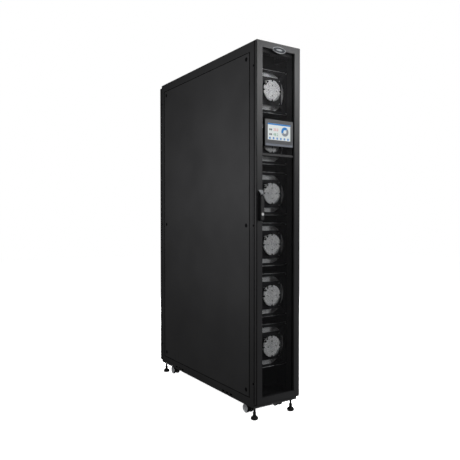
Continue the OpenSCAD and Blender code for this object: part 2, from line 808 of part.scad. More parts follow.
// coil that stands on the drain pan: upright fins between two end plates, with tube passes across
module cooling_coil() {
  w = clear_w - 17.5;
  z1 = coil_z + coil_h;
  step = 2 * (w - 2) / (fin_count + 1);
  color("#b7babd") {
    for (z = [coil_z, z1 - 3]) span([-w, coil_y0, z], [w, coil_y1, z + 3]);
    both_x() span([w - 2, coil_y0, coil_z], [w, coil_y1, z1]);
    for (i = [1 : fin_count])
      translate([i * step - w + 2, 0, 0]) span([-0.5, coil_y0 + 3, coil_z + 1], [0.5, coil_y1 - 3, z1 - 1]);
    for (i = [0 : pass_count - 1]) for (k = [0.25, 0.75])
      bar_x([-w - 2, coil_y0 + k * coil_t, pass_z(i)], 12, 2 * w + 4);
  }
}

// supply and return headers; their stubs enter the coil's back at every other tube pass in turn
module water_pipes() {
  z0 = pan_z + 60;
  color("#b4704a") for (side = [0, 1]) translate([(2 * side - 1) * pipe_x, 0, 0]) difference() {
    union() {
      bar_z([0, pipe_y, z0], pipe_d, top_z - 6 - z0);
      for (i = [side : 2 : pass_count - 1]) bar_y([0, coil_y1 - 3, pass_z(i)], 12, pipe_in);
      bar_z([0, pipe_y, top_z - 70], pipe_d + 8, 20);
    }
    bar_z([0, pipe_y, z0 + 2], pipe_d - 3, top_z - z0);
  }
}

// drain pan on four legs, with an outlet spigot
module drain_pan() {
  w = clear_w - 3.5;
  y0 = coil_y0 - 40;
  y1 = pipe_y - 10;
  color("#c2c5c8") {
    difference() {
      span([-w, y0, pan_z], [w, y1, pan_z + pan_h]);
      span([-w + sheet_t, y0 + sheet_t, coil_z], [w - sheet_t, y1 - sheet_t, pan_z + pan_h + 1]);
      both_x() translate([pipe_x, y1, coil_z + pan_h / 2]) cube([pipe_d + 8, 20, pan_h], center = true);
    }
    both_x() for (y = [y0 + 10, y1 - 30]) span([w - 16, y, base_top], [w + 2, y + 20, pan_z + 1]);
    bar_z([0, drain_y, pan_z - 50], drain_d, 51);
  }
}

// the children at each cable gland, in line with the cable opening above
module glands() {
  for (i = [0 : gland_count - 1]) translate([(i - (gland_count - 1) / 2) * gland_step, cable_y, 0]) children();
}

// electrical box with cable glands on top and a louvred lid at the rear
module electrical_box() {
  w = clear_w - 7.5;
  lid_y = box_y1 - 3;
  z1 = base_top + box_h;
  color("#53575c") difference() {
    union() {
      span([-w, box_y0, base_top], [w, lid_y, z1]);
      span([-w + 4, lid_y, base_top + 4], [w - 4, box_y1, z1 - 4]);
      glands() translate([0, 0, z1 - 1]) cylinder(d = gland_d + 8, h = 15);
    }
    span([-w + 2, box_y0 + 2, base_top + 2], [w - 2, lid_y - 2, z1 - 2]);
    glands() translate([0, 0, z1 - 5]) cylinder(d = gland_d, h = 25);
    for (i = [0 : 5]) span([-60, lid_y - 10, z1 - 90 + i * 12], [60, box_y1 + 7, z1 - 84 + i * 12]);
  }
}

// pleated filter in a frame against the rear post flanges
module air_filter() {
  y0 = filter_y0;
  y1 = filter_y1;
  w = clear_w - 18;
  p = 2 * w / pleat_count;
  color("#d9dcd6") {
    difference() {
      span([-clear_w, y0, base_top], [clear_w, y1, head_z]);
      span([-w, y0 - 1, base_top + 18], [w, y1 + 1, head_z - 18]);
    }
    translate([0, 0, base_top + 17]) linear_extrude(head_z - base_top - 34)
      for (i = [0 : pleat_count - 1]) polygon([
        [-w + i * p, y0 + 4], [-w + (i + 0.5) * p, y1 - 6], [-w + (i + 1) * p, y0 + 4],
        [-w + (i + 1) * p, y0 + 6], [-w + (i + 0.5) * p, y1 - 4], [-w + i * p, y0 + 6]]);
  }
}

// ---------- feet and casters ----------

// levelling foot: round pad, hexagonal body and threaded stem
module foot(x, y) {
  r = pad_d / 2;
  color("#17181a") translate([x, y, 0]) {
    rotate_extrude() polygon([
      [0, 0], [r - 4, 0], [r - 1, 3], [r, 8], [r - 1, 13], [r - 5, 18], [r - 11, 22], [0, 24]]);
    translate([0, 0, 20]) cylinder(d = 20, h = 20, $fn = 6);
    cylinder(d = stem_d, h = foot_h + base_h - 12);
  }
}

// caster fork: round swivel flange, neck and the hood between the wheels
module fork(x, y) {
  s = y > 0 ? -1 : 1;
  hub = 11;
  neck_z = axle_z + wheel_d / 2 + 0.5;
  color("#1a1b1d") translate([x, y + s * trail, 0]) difference() {
    union() {
      translate([0, 0, foot_h - 3]) cylinder(d = 46, h = 2.7);
      translate([0, 0, neck_z]) cylinder(d = 24, h = foot_h - 2 - neck_z);
      translate([-hub / 2, 0, 0]) rotate([90, 0, 90]) linear_extrude(hub) {
        intersection() {
          translate([-s * trail, axle_z]) circle(wheel_d / 2 - 2);
          translate([-s * trail - wheel_d, axle_z - 12]) square([2 * wheel_d, wheel_d]);
        }
        polygon([[-s * trail - s * 12, axle_z + 16], [-s * trail + s * 20, axle_z + 10],
                 [s * 12, foot_h - 6], [-s * 12, foot_h - 6]]);
      }
    }
    bar_x([-hub, -s * trail, axle_z], 8.4, 2 * hub);
  }
}

// twin caster wheels on one axle
module wheel(x, y) {
  w = (caster_w - 13) / 2;
  r = wheel_d / 2;
  color("#c4c6c8") translate([x, y, axle_z]) {
    both_x() translate([6.5, 0, 0]) rotate([90, 0, 90]) rotate_extrude() polygon([
      [0, 0], [r - 2, 0], [r, 2], [r, w - 4], [r - 4, w], [r - 6, w], [r - 7, w - 2], [9, w - 2],
      [8, w], [0, w]]);
    bar_x([-7, 0, 0], 8, 14);
  }
}

module foot_front_left() foot(-foot_x, -foot_y);
module foot_front_right() foot(foot_x, -foot_y);
module foot_rear_left() foot(-foot_x, foot_y);
module foot_rear_right() foot(foot_x, foot_y);
module fork_front_left() fork(-caster_x, -caster_y);
module fork_front_right() fork(caster_x, -caster_y);
module fork_rear_left() fork(-caster_x, caster_y);
module fork_rear_right() fork(caster_x, caster_y);
module wheel_front_left() wheel(-caster_x, -caster_y);
module wheel_front_right() wheel(caster_x, -caster_y);
module wheel_rear_left() wheel(-caster_x, caster_y);
module wheel_rear_right() wheel(caster_x, caster_y);

// ---------- parts ----------

base_frame();
base_pan();
top_frame();
top_cover();
front_left_post();
front_right_post();
rear_left_post();
rear_right_post();
left_side_panel();
right_side_panel();
panel_fasteners();
hinge_brackets();
fan_wall();
fan_trays();
fan_brackets();
fan_motors();
inlet_rings();
cooling_coil();
water_pipes();
drain_pan();
electrical_box();
air_filter();
front_door_frame();
front_door_mesh();
door_crossbar();
door_badge();
display_case();
display_screen();
front_handle_base();
front_spindle();
front_lever();
front_lock();
front_upper_rod();
front_lower_rod();
rear_door_frame();
rear_door_mesh();
rear_handle_base();
rear_spindle();
rear_lever();
rear_lock();
rear_upper_rod();
rear_lower_rod();
impeller_1();
impeller_2();
impeller_3();
impeller_4();
impeller_5();
impeller_6();
foot_front_left();
foot_front_right();
foot_rear_left();
foot_rear_right();
fork_front_left();
fork_front_right();
fork_rear_left();
fork_rear_right();
wheel_front_left();
wheel_front_right();
wheel_rear_left();
wheel_rear_right();
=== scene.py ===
import json
import math
import bpy
import numpy as np
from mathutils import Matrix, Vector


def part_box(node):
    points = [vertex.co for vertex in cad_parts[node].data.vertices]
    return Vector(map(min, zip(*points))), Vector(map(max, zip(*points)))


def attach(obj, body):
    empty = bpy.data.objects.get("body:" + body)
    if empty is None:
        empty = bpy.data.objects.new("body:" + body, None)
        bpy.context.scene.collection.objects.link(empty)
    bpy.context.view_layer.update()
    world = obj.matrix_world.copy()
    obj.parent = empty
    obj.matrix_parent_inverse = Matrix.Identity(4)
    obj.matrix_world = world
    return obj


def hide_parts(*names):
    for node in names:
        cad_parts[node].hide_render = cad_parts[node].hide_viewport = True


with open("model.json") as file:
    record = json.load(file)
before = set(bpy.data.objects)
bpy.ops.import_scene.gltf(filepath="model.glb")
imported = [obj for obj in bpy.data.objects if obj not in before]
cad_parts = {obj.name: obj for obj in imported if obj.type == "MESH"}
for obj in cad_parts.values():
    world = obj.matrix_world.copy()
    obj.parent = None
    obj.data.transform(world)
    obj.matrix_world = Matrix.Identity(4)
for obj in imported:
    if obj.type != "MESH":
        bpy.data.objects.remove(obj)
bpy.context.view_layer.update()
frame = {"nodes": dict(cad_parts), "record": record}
nodes = frame["nodes"]
print("frame loaded:", len(nodes), "nodes")

mm = 0.001
reach = 3.0  # metres, past every edge of the cabinet


# the lowest and highest corner of a node at rest, and its middle
def low(node):
    return np.array(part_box(node)[0])


def high(node):
    return np.array(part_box(node)[1])


def middle(node):
    return (low(node) + high(node)) / 2


cameraSettings = {
    "place": (-1.8039, -2.8952, 1.0985),
    "turn": 32.864,  # degrees from straight at the front door, towards the right
    "dip": 1.035,  # degrees below the horizon
    "lens": 41.074,
    "sensor": 36.0,
    "far": 50.0,  # metres to where the view ends
}


def makeCamera(s):
    data = bpy.data.cameras.new("camera")
    data.lens = s["lens"]
    data.sensor_width = s["sensor"]
    data.clip_end = s["far"]
    camera = bpy.data.objects.new("camera", data)
    camera.location = s["place"]
    camera.rotation_euler = (math.radians(90 - s["dip"]), 0, math.radians(-s["turn"]))
    bpy.context.collection.objects.link(camera)
    bpy.context.scene.camera = camera


makeCamera(cameraSettings)

lightSettings = {
    # name: place, aim, width, height, watts, seen in highlights, seen in plain shading, beam in degrees
    "keyBox": ((2.6, -3.2, 1.7), (0.0, -0.55, 1.3), 0.45, 0.45, 205.0, False, True, 180),
    "topBox": ((0.1, -1.1, 2.25), (0.0, -0.5, 1.8), 0.3, 0.2, 0.7, False, True, 45),
    "sheenBox": ((1.9, -3.1, 2.78), (0.0, -0.6, 1.9), 0.9, 0.9, 29.0, True, False, 180),
    "leftStrip": ((-1.0, -0.6, 1.38), (-0.15, -0.45, 1.38), 1.8, 0.15, 11.0, False, True, 180),
    "leftFill": ((-3.2, -0.9, 1.9), (-0.15, 0.0, 1.2), 1.0, 1.0, 18.0, True, True, 180),
    "frontFill": ((-1.6, -3.6, 1.5), (0.0, -0.5, 1.2), 0.8, 1.8, 16.0, True, True, 180),
    "rearFill": ((1.4, 3.4, 2.2), (0.0, 0.6, 1.2), 1.4, 1.4, 200.0, False, True, 180),
    "rightFill": ((3.2, 0.6, 1.8), (0.15, 0.0, 1.2), 1.2, 1.6, 100.0, False, True, 180),
    "rearSheen": ((2.9, 3.1, 2.0), (0.0, 0.3, 1.2), 3.0, 3.0, 32.0, True, False, 180),
}


def makeLight(name, place, aim, width, height, watts, gloss, plain, beam):
    data = bpy.data.lights.new(name, "AREA")
    data.shape = "RECTANGLE"
    data.size = width
    data.size_y = height
    data.energy = watts
    data.spread = math.radians(beam)
    light = bpy.data.objects.new(name, data)
    light.visible_camera = False
    light.visible_glossy = gloss
    light.visible_diffuse = plain
    light.location = place
    back = np.array(place) - np.array(aim)
    level = math.hypot(back[0], back[1])
    light.rotation_euler = (math.atan2(level, back[2]), 0, math.atan2(back[0], -back[1]))
    bpy.context.collection.objects.link(light)


for lightName, values in lightSettings.items():
    makeLight(lightName, *values)


def linear(hexColour):
    # sRGB hex to linear light
    parts = [int(hexColour[i:i + 2], 16) / 255 for i in (1, 3, 5)]
    return tuple(p / 12.92 if p <= 0.04045 else ((p + 0.055) / 1.055) ** 2.4 for p in parts) + (1.0,)


def addNode(tree, kind, settings=None, sources=None, targets=None):
    # one node with its settings and links: settings go to a property or an input,
    # sources come to an input, and an output goes to its target
    node = tree.nodes.new(kind)
    for key, value in (settings or {}).items():
        if isinstance(key, str) and hasattr(node, key):
            setattr(node, key, value)
        else:
            node.inputs[key].default_value = value
    for key, source in (sources or {}).items():
        tree.links.new(source, node.inputs[key])
    for key, target in (targets or {}).items():
        tree.links.new(node.outputs[key], target)
    return node


worldSettings = {"colour": "#ffffff", "seen": 1.0, "cast": 0.06}  # strengths to the eye and on the object


def makeWorld(s):
    # the eye sees white all round, and the object gets only a little of it
    world = bpy.data.worlds.new("studio")
    world.use_nodes = True
    tree = world.node_tree
    tree.nodes.clear()
    path = addNode(tree, "ShaderNodeLightPath")
    cast, seen = (addNode(tree, "ShaderNodeBackground", {"Color": linear(s["colour"]), "Strength": s[key]})
                  for key in ("cast", "seen"))
    mix = addNode(tree, "ShaderNodeMixShader", None,
                  {0: path.outputs["Is Camera Ray"], 1: cast.outputs[0], 2: seen.outputs[0]})
    addNode(tree, "ShaderNodeOutputWorld", None, {"Surface": mix.outputs[0]})
    bpy.context.scene.world = world
    bpy.context.scene.view_settings.view_transform = "Standard"


makeWorld(worldSettings)
print("camera, lights and world made")


def faceOutwards(mesh):
    # a closed mesh whose volume comes out negative is inside out, so all its faces are turned over;
    # the volume is the sum of each triangle's corners' triple product
    mesh.calc_loop_triangles()
    corners = np.empty(3 * len(mesh.loop_triangles), np.int32)
    mesh.loop_triangles.foreach_get("vertices", corners)
    points = np.empty(3 * len(mesh.vertices))
    mesh.vertices.foreach_get("co", points)
    p, q, r = points.reshape(-1, 3)[corners.reshape(-1, 3)].transpose(1, 0, 2)
    if (p * np.cross(q, r)).sum() < 0:
        mesh.flip_normals()


def meshPiece(name, points, faces, material, body, smooth=False):
    # one mesh from an array of points and a list of face arrays, riding on a body
    mesh = bpy.data.meshes.new(name)
    mesh.from_pydata(np.asarray(points, float).tolist(), [],
                     [face for group in faces for face in np.asarray(group).tolist()])
    mesh.update()
    if smooth:
        mesh.polygons.foreach_set("use_smooth", np.ones(len(mesh.polygons), bool))
    piece = bpy.data.objects.new(name, mesh)
    bpy.context.collection.objects.link(piece)
    mesh.materials.append(material)
    if body:
        faceOutwards(mesh)
        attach(piece, body)
    return piece


def roundedOutline(width, height, radius, steps=4):
    # quarter circles at the four corners of a rectangle, anticlockwise from the right side
    angle = np.radians(np.arange(4)[:, None] * 90 + np.linspace(0, 90, steps + 1)).ravel()
    side = np.repeat(np.array([[1, 1], [-1, 1], [-1, -1], [1, -1]]), steps + 1, axis=0)
    centre = side * np.array([width / 2 - radius, height / 2 - radius])
    return centre + radius * np.stack([np.cos(angle), np.sin(angle)], -1)


def roundOutline(diameter, steps):
    # half the diameter times the cosine and sine of evenly spaced angles
    angle = np.arange(steps) * 2 * math.pi / steps
    return diameter / 2 * np.stack([np.cos(angle), np.sin(angle)], -1)


def stackPoints(outlines, heights):
    # each outline lies in x and y at its own height
    flat = np.array(outlines, float)
    level = np.broadcast_to(np.asarray(heights, float)[:, None, None], flat.shape[:2] + (1,))
    return np.concatenate([flat, level], -1).reshape(-1, 3)


def lathePoints(profile, steps):
    # each radius of the profile turned into a circle about the z axis, at its own height
    r, h = np.asarray(profile, float).T
    return stackPoints(r[:, None, None] * roundOutline(2.0, steps), h)


def stackFaces(rings, count):
    # quads between neighbouring rings of a stack, with a flat cap on each end
    i = np.arange(count)
    j = (i + 1) % count
    base = (np.arange(rings - 1) * count)[:, None]
    quads = np.stack([base + i, base + j, base + count + j, base + count + i], -1).reshape(-1, 4)
    return [quads, np.stack([i[::-1], (rings - 1) * count + i])]


facing = {
    # where a stack's own x, y and height point when it stands out of a face
    "front": np.array([[1, 0, 0], [0, 0, 1], [0, -1, 0]]),
    "left": np.array([[0, -1, 0], [0, 0, 1], [-1, 0, 0]]),
    "right": np.array([[0, 1, 0], [0, 0, 1], [1, 0, 0]]),
    "up": np.array([[1, 0, 0], [0, 1, 0], [0, 0, 1]]),
}


def copiesPiece(name, points, faces, way, places, material, body, smooth):
    # the same points and faces at every place, in one mesh
    places = np.atleast_2d(places)
    first = len(points) * np.arange(len(places))[:, None, None]
    allPoints = (places[:, None, :] + points @ facing[way]).reshape(-1, 3)
    allFaces = [(group + first).reshape(-1, group.shape[1]) for group in faces]
    return meshPiece(name, allPoints, allFaces, material, body, smooth)


def stackPiece(name, outlines, heights, way, places, material, body, smooth=False):
    # outlines at their heights in metres, joined ring to ring and closed at both ends
    return copiesPiece(name, stackPoints(outlines, heights), stackFaces(len(heights), len(outlines[0])),
                       way, places, material, body, smooth)


def lathePiece(name, profile, steps, way, places, material, body):
    # a profile of radius and height in millimetres, turned about its axis and closed at both ends
    return copiesPiece(name, lathePoints(profile, steps) * mm, stackFaces(len(profile), steps),
                       way, places, material, body, True)


def tile(name, width, height, thick, radius, way, places, material, body, edge=0.3):
    # a rounded plate whose last ring is smaller by a small bevel; sizes in millimetres
    full = roundedOutline(width, height, radius)
    face = roundedOutline(width - 2 * edge, height - 2 * edge, max(radius - edge, 0.05))
    return stackPiece(name, [full * mm, full * mm, face * mm], np.array([0, thick - edge, thick]) * mm,
                      way, places, material, body)


def sweepPiece(name, path, outline, material, body, closed=True, up=(0, 1, 0)):
    # an outline carried along a path; its first axis points sideways and its second along up
    path, up = np.asarray(path, float), np.array(up, float)
    ahead = np.roll(path, -1, axis=0) - np.roll(path, 1, axis=0)
    if not closed:
        ahead[0] = path[1] - path[0]
        ahead[-1] = path[-1] - path[-2]
    ahead /= np.linalg.norm(ahead, axis=1)[:, None]
    side = np.cross(ahead, up)
    side /= np.linalg.norm(side, axis=1)[:, None]
    points = (path[:, None, :] + outline[None, :, :1] * side[:, None, :]
              + outline[None, :, 1:] * up[None, None, :]).reshape(-1, 3)
    n, k = len(path), len(outline)
    i = np.arange(n if closed else n - 1)[:, None]
    j = np.arange(k)
    here, onward = i * k, (i + 1) % n * k
    beside = (j + 1) % k
    faces = [np.stack([here + j, here + beside, onward + beside, onward + j], -1).reshape(-1, 4)]
    if not closed:
        faces.append(np.stack([j[::-1], (n - 1) * k + j]))
    return meshPiece(name, points, faces, material, body, True)


print("tools ready")


def newMaterial(name, colour, rough, metal=0.0, **more):
    material = bpy.data.materials.new(name)
    material.use_nodes = True
    shader = material.node_tree.nodes["Principled BSDF"]
    shader.inputs["Base Color"].default_value = linear(colour)
    shader.inputs["Roughness"].default_value = rough
    shader.inputs["Metallic"].default_value = metal
    for key, value in more.items():
        shader.inputs[key.replace("_", " ")].default_value = value
    return material, material.node_tree, shader


def twoTone(tree, target, pattern, colours, spread=(0.0, 1.0)):
    # the first colour where the pattern is low and the second where it is high
    ramp = addNode(tree, "ShaderNodeValToRGB", None, {"Fac": pattern}, {"Color": target}).color_ramp
    for element, colour, place in zip(ramp.elements, colours, spread):
        element.color = colour
        element.position = place


def mottle(tree, shader, colours, size, detail=3.0):
    # a soft change between two colours, with patches of the given size in metres
    place = addNode(tree, "ShaderNodeTexCoord").outputs["Object"]
    noise = addNode(tree, "ShaderNodeTexNoise", {"Scale": 1 / size, "Detail": detail}, {"Vector": place})
    pattern = noise.outputs["Fac"]
    twoTone(tree, shader.inputs["Base Color"], pattern, [linear(c) for c in colours], (0.35, 0.65))
    return place, pattern


def relief(tree, shader, band, rough, bump, height):
    # roughness between two values after one pattern, and bumps of a height in metres after another
    if band is not None:
        addNode(tree, "ShaderNodeMapRange", {"To Min": rough[0], "To Max": rough[1]}, {"Value": band},
                {"Result": shader.inputs["Roughness"]})
    if bump is not None:
        addNode(tree, "ShaderNodeBump", {"Strength": 1.0, "Distance": height}, {"Height": bump},
                {"Normal": shader.inputs["Normal"]})


def powderCoat(name, dark, light, rough=0.46, **more):
    # polyester powder on steel: an even colour with the fine orange peel of the baked film,
    # which gives soft, slightly broken highlights; the peel is 2 mm in life and drawn at 5 mm
    patch, peelSize, peelHeight = 350 * mm, 5 * mm, 0.12 * mm
    material, tree, shader = newMaterial(name, dark, rough, IOR=1.5, **more)
    place, pattern = mottle(tree, shader, (dark, light), patch)
    peel = addNode(tree, "ShaderNodeTexNoise", {"Scale": 1 / peelSize, "Detail": 1.0}, {"Vector": place})
    relief(tree, shader, pattern, (rough - 0.05, rough + 0.06), peel.outputs["Fac"], peelHeight)
    return material


def zincSheet(name, dark, light, rough, metal):
    # hot-dip galvanised sheet: crystals of 10 to 20 mm, each with its own grey and gloss
    crystal = 14 * mm
    material, tree, shader = newMaterial(name, dark, rough, metal)
    place = addNode(tree, "ShaderNodeTexCoord").outputs["Object"]
    cell = addNode(tree, "ShaderNodeTexVoronoi", {"Scale": 1 / crystal}, {"Vector": place})
    grey = addNode(tree, "ShaderNodeRGBToBW", None, {"Color": cell.outputs["Color"]}).outputs["Val"]
    twoTone(tree, shader.inputs["Base Color"], grey, (linear(dark), linear(light)))
    relief(tree, shader, grey, (rough - 0.08, rough + 0.12), None, 0)
    return material


def castAluminium(name, dark, light, rough=0.5):
    # pressure die-cast aluminium, blasted: a pale skin with a 1 mm grain, drawn at 3 mm
    patch, grainSize, grainHeight = 30 * mm, 3 * mm, 0.15 * mm
    material, tree, shader = newMaterial(name, light, rough)
    place = mottle(tree, shader, (dark, light), patch)[0]
    grain = addNode(tree, "ShaderNodeTexNoise", {"Scale": 1 / grainSize, "Detail": 2.0}, {"Vector": place})
    relief(tree, shader, grain.outputs["Fac"], (rough - 0.08, rough + 0.1), grain.outputs["Fac"], grainHeight)
    return material


def brushedMetal(name, dark, light, rough, metal=1.0, stretch=(1, 1, 40)):
    # drawn or brushed metal: marks 0.5 mm wide, long along one axis, which stretch the highlights
    mark = 0.5 * mm
    material, tree, shader = newMaterial(name, light, rough, metal)
    place = addNode(tree, "ShaderNodeTexCoord").outputs["Object"]
    lay = addNode(tree, "ShaderNodeMapping", {"Scale": tuple(1 / s for s in stretch)}, {"Vector": place})
    noise = addNode(tree, "ShaderNodeTexNoise", {"Scale": 1 / mark, "Detail": 2.0}, {"Vector": lay.outputs[0]})
    twoTone(tree, shader.inputs["Base Color"], noise.outputs["Fac"], (linear(dark), linear(light)), (0.3, 0.7))
    relief(tree, shader, noise.outputs["Fac"], (rough - 0.06, rough + 0.08), None, 0)
    return material


def mouldedPlastic(name, dark, light, rough=0.5, grainSize=2.5 * mm, **more):
    # injection-moulded plastic from a spark-eroded tool: a fine even texture of about 0.3 mm,
    # drawn at 2.5 mm, and a soft sheen
    patch, grainHeight = 60 * mm, 0.1 * mm
    material, tree, shader = newMaterial(name, dark, rough, IOR=1.5, **more)
    place = mottle(tree, shader, (dark, light), patch)[0]
    grain = addNode(tree, "ShaderNodeTexNoise", {"Scale": 1 / grainSize, "Detail": 2.0}, {"Vector": place})
    relief(tree, shader, grain.outputs["Fac"], (rough - 0.06, rough + 0.08), grain.outputs["Fac"], grainHeight)
    return material


def litGlass(name, colour, strength):
    # a backlit liquid-crystal picture behind a clear cover: even light of its own and a hard gloss on top;
    # the rows of its dots, 0.2 mm apart in life, are drawn 1 mm apart as faintly darker lines
    rowPitch, rowShade = 1 * mm, 0.93
    material, tree, shader = newMaterial(name, "#101112", 0.12, IOR=1.5)
    place = addNode(tree, "ShaderNodeTexCoord").outputs["Object"]
    rows = addNode(tree, "ShaderNodeTexWave", {"Scale": 0.314 / rowPitch, "bands_direction": "Z"},
                   {"Vector": place})  # the node's own bands lie 0.314 apart
    full = linear(colour)
    shaded = tuple(rowShade * v for v in full[:3]) + (1.0,)
    twoTone(tree, shader.inputs["Emission Color"], rows.outputs["Fac"], (shaded, full))
    shader.inputs["Emission Strength"].default_value = strength
    return material


def pleatedFibre(name, dark, light):
    # pressed synthetic fibre: a woolly surface with 4 mm clumps and no gloss
    clump, clumpHeight = 4 * mm, 0.6 * mm
    material, tree, shader = newMaterial(name, light, 0.95)
    pattern = mottle(tree, shader, (dark, light), clump, 5.0)[1]
    relief(tree, shader, None, None, pattern, clumpHeight)
    return material


framePaint = powderCoat("powder_coated_steel_charcoal", "#2c2c2d", "#313132")
panelPaint = powderCoat("powder_coated_panel_graphite", "#313132", "#373738")
doorPaint = powderCoat("powder_coated_door_grey", "#1f1f20", "#232324", 0.42)
meshPaint = powderCoat("powder_coated_mesh_black", "#0d0d0e", "#111112", 0.6, Specular_IOR_Level=0.2)
# the galvanised sheet inside is drawn near black, far darker than the pale zinc of the hems, as painted shade
# inside the cabinet
shadedTrayZinc = zincSheet("galvanised_sheet", "#212224", "#2c2d2f", 0.62, 0.2)
bracketPaint = powderCoat("electrocoated_bracket_black", "#1b1c1e", "#232427", 0.5)
motorCast = castAluminium("die_cast_aluminium", "#d9dbdd", "#e9eaeb")
hemZinc = zincSheet("galvanised_hem", "#b4b6b8", "#c9cbcd", 0.5, 0.1)
impellerSkin = castAluminium("pressed_aluminium", "#c3c5c7", "#d0d2d4", 0.5)
finSheet = brushedMetal("aluminium_fin_stock", "#a9adb0", "#c3c6c8", 0.4, 0.9)
copperTube = brushedMetal("drawn_copper_tube", "#a9603d", "#c07a52", 0.32)
panSteel = brushedMetal("brushed_stainless_steel", "#9a9b9a", "#b5b6b4", 0.3)
zincPlate = brushedMetal("zinc_plated_steel", "#9fa3a6", "#bcc0c2", 0.32, 0.9, (1, 1, 6))
filterFibre = pleatedFibre("pleated_synthetic_fibre", "#c5c8c0", "#dcdfd8")
badgeSkin = brushedMetal("satin_chrome", "#707274", "#888a8c", 0.5, 0.5, (20, 1, 1))
badgeField = mouldedPlastic("enamel_dark_field", "#202225", "#292b2e", 0.6, Specular_IOR_Level=0.2)
bezelPlastic = mouldedPlastic("moulded_bezel_grey", "#3e4044", "#45474b", 0.42)
chinPlastic = mouldedPlastic("moulded_strip_blue_grey", "#4b4f57", "#545860", 0.4)
handlePlastic = mouldedPlastic("glass_filled_nylon_black", "#050506", "#08080a", 0.6, Specular_IOR_Level=0.15)
capPlastic = mouldedPlastic("moulded_cap_silver", "#66686a", "#707274", 0.5)
lockChrome = brushedMetal("polished_lock_chrome", "#dcdddf", "#f2f2f2", 0.16, 0.55)
footRubber = mouldedPlastic("moulded_rubber_black", "#0c0c0c", "#121212", 0.7)
forkNylon = mouldedPlastic("moulded_nylon_black", "#101113", "#17181a", 0.5)
wheelNylon = mouldedPlastic("moulded_nylon_grey", "#b9bbbd", "#c6c8ca", 0.5)
screwSteel = brushedMetal("blackened_screw_steel", "#606264", "#6e7072", 0.5, 0.3)
# black nylon for the quarter-turn fasteners and washers, and also painted shade for the hole caps and rim
# notch plates
blackNylonAndShade = mouldedPlastic("quarter_turn_nylon_black_and_painted_shade", "#050506", "#08080a", 0.6, Specular_IOR_Level=0.15)
# black foam for the door seals, and also painted shade for the strips over the panel and door gaps
blackFoamAndShade = mouldedPlastic("closed_cell_foam_black_and_painted_shade", "#020202", "#040404", 0.95, 1 * mm,
                            Specular_IOR_Level=0.05)
screenGlass = litGlass("backlit_screen_pale", "#dfe5e4", 0.93)

finishes = {
    # the material for each of the record's slots
    "frame_paint": framePaint, "panel_paint": panelPaint, "door_paint": doorPaint, "mesh_paint": meshPaint,
    "fastener_plastic": blackNylonAndShade, "zinc_steel": zincPlate, "galvanised_sheet": shadedTrayZinc,
    "dark_bracket": bracketPaint, "cast_aluminium": motorCast, "impeller_aluminium": impellerSkin,
    "fin_aluminium": finSheet, "copper": copperTube, "stainless": panSteel, "filter_media": filterFibre,
    "badge_metal": badgeSkin, "bezel_plastic": bezelPlastic, "screen_glass": screenGlass,
    "handle_plastic": handlePlastic, "lock_chrome": lockChrome, "foot_rubber": footRubber,
    "fork_plastic": forkNylon, "wheel_plastic": wheelNylon,
}

edgeSettings = {
    # width of the softened edges in millimetres, by the node's finish
    "frame_paint": 1.2, "panel_paint": 1.0, "door_paint": 1.2, "dark_bracket": 0.5, "cast_aluminium": 1.2,
    "bezel_plastic": 1.6, "handle_plastic": 2.0, "foot_rubber": 1.5, "fork_plastic": 1.5,
    "wheel_plastic": 2.0, "lock_chrome": 0.8, "badge_metal": 0.6, "zinc_steel": 0.3,
}

bevelSettings = {"weld": 0.02, "segments": 2, "angle": 40}  # millimetres, strips, degrees at an edge


def dressNodes(s):
    # every CAD node gets its finish, and softened edges where its finish has them
    for part in frame["record"]["subparts"]:
        node = nodes[part["node"]]
        slot = part["material_slot"]
        node.data.materials.clear()
        node.data.materials.append(finishes[slot])
        if slot in edgeSettings:
            weld = node.modifiers.new("weld", "WELD")
            weld.merge_threshold = s["weld"] * mm
            bevel = node.modifiers.new("soft edges", "BEVEL")
            bevel.width = edgeSettings[slot] * mm
            bevel.segments = s["segments"]
            bevel.limit_method = "ANGLE"
            bevel.angle_limit = math.radians(s["angle"])
            bevel.harden_normals = True


dressNodes(bevelSettings)
print("nodes dressed")

# millimetres from hole to hole of the perforated sheets, and of metal between holes, and the least
# area of a face in square millimetres
sheetSettings = {"pitch": 6.5, "web": 1.4, "least": 0.001}


def areas(corners):
    # half the sum of the cross products of each polygon's neighbouring corners
    onward = np.roll(corners, -1, axis=1)
    return np.abs((corners[..., 0] * onward[..., 1] - corners[..., 1] * onward[..., 0]).sum(1)) / 2


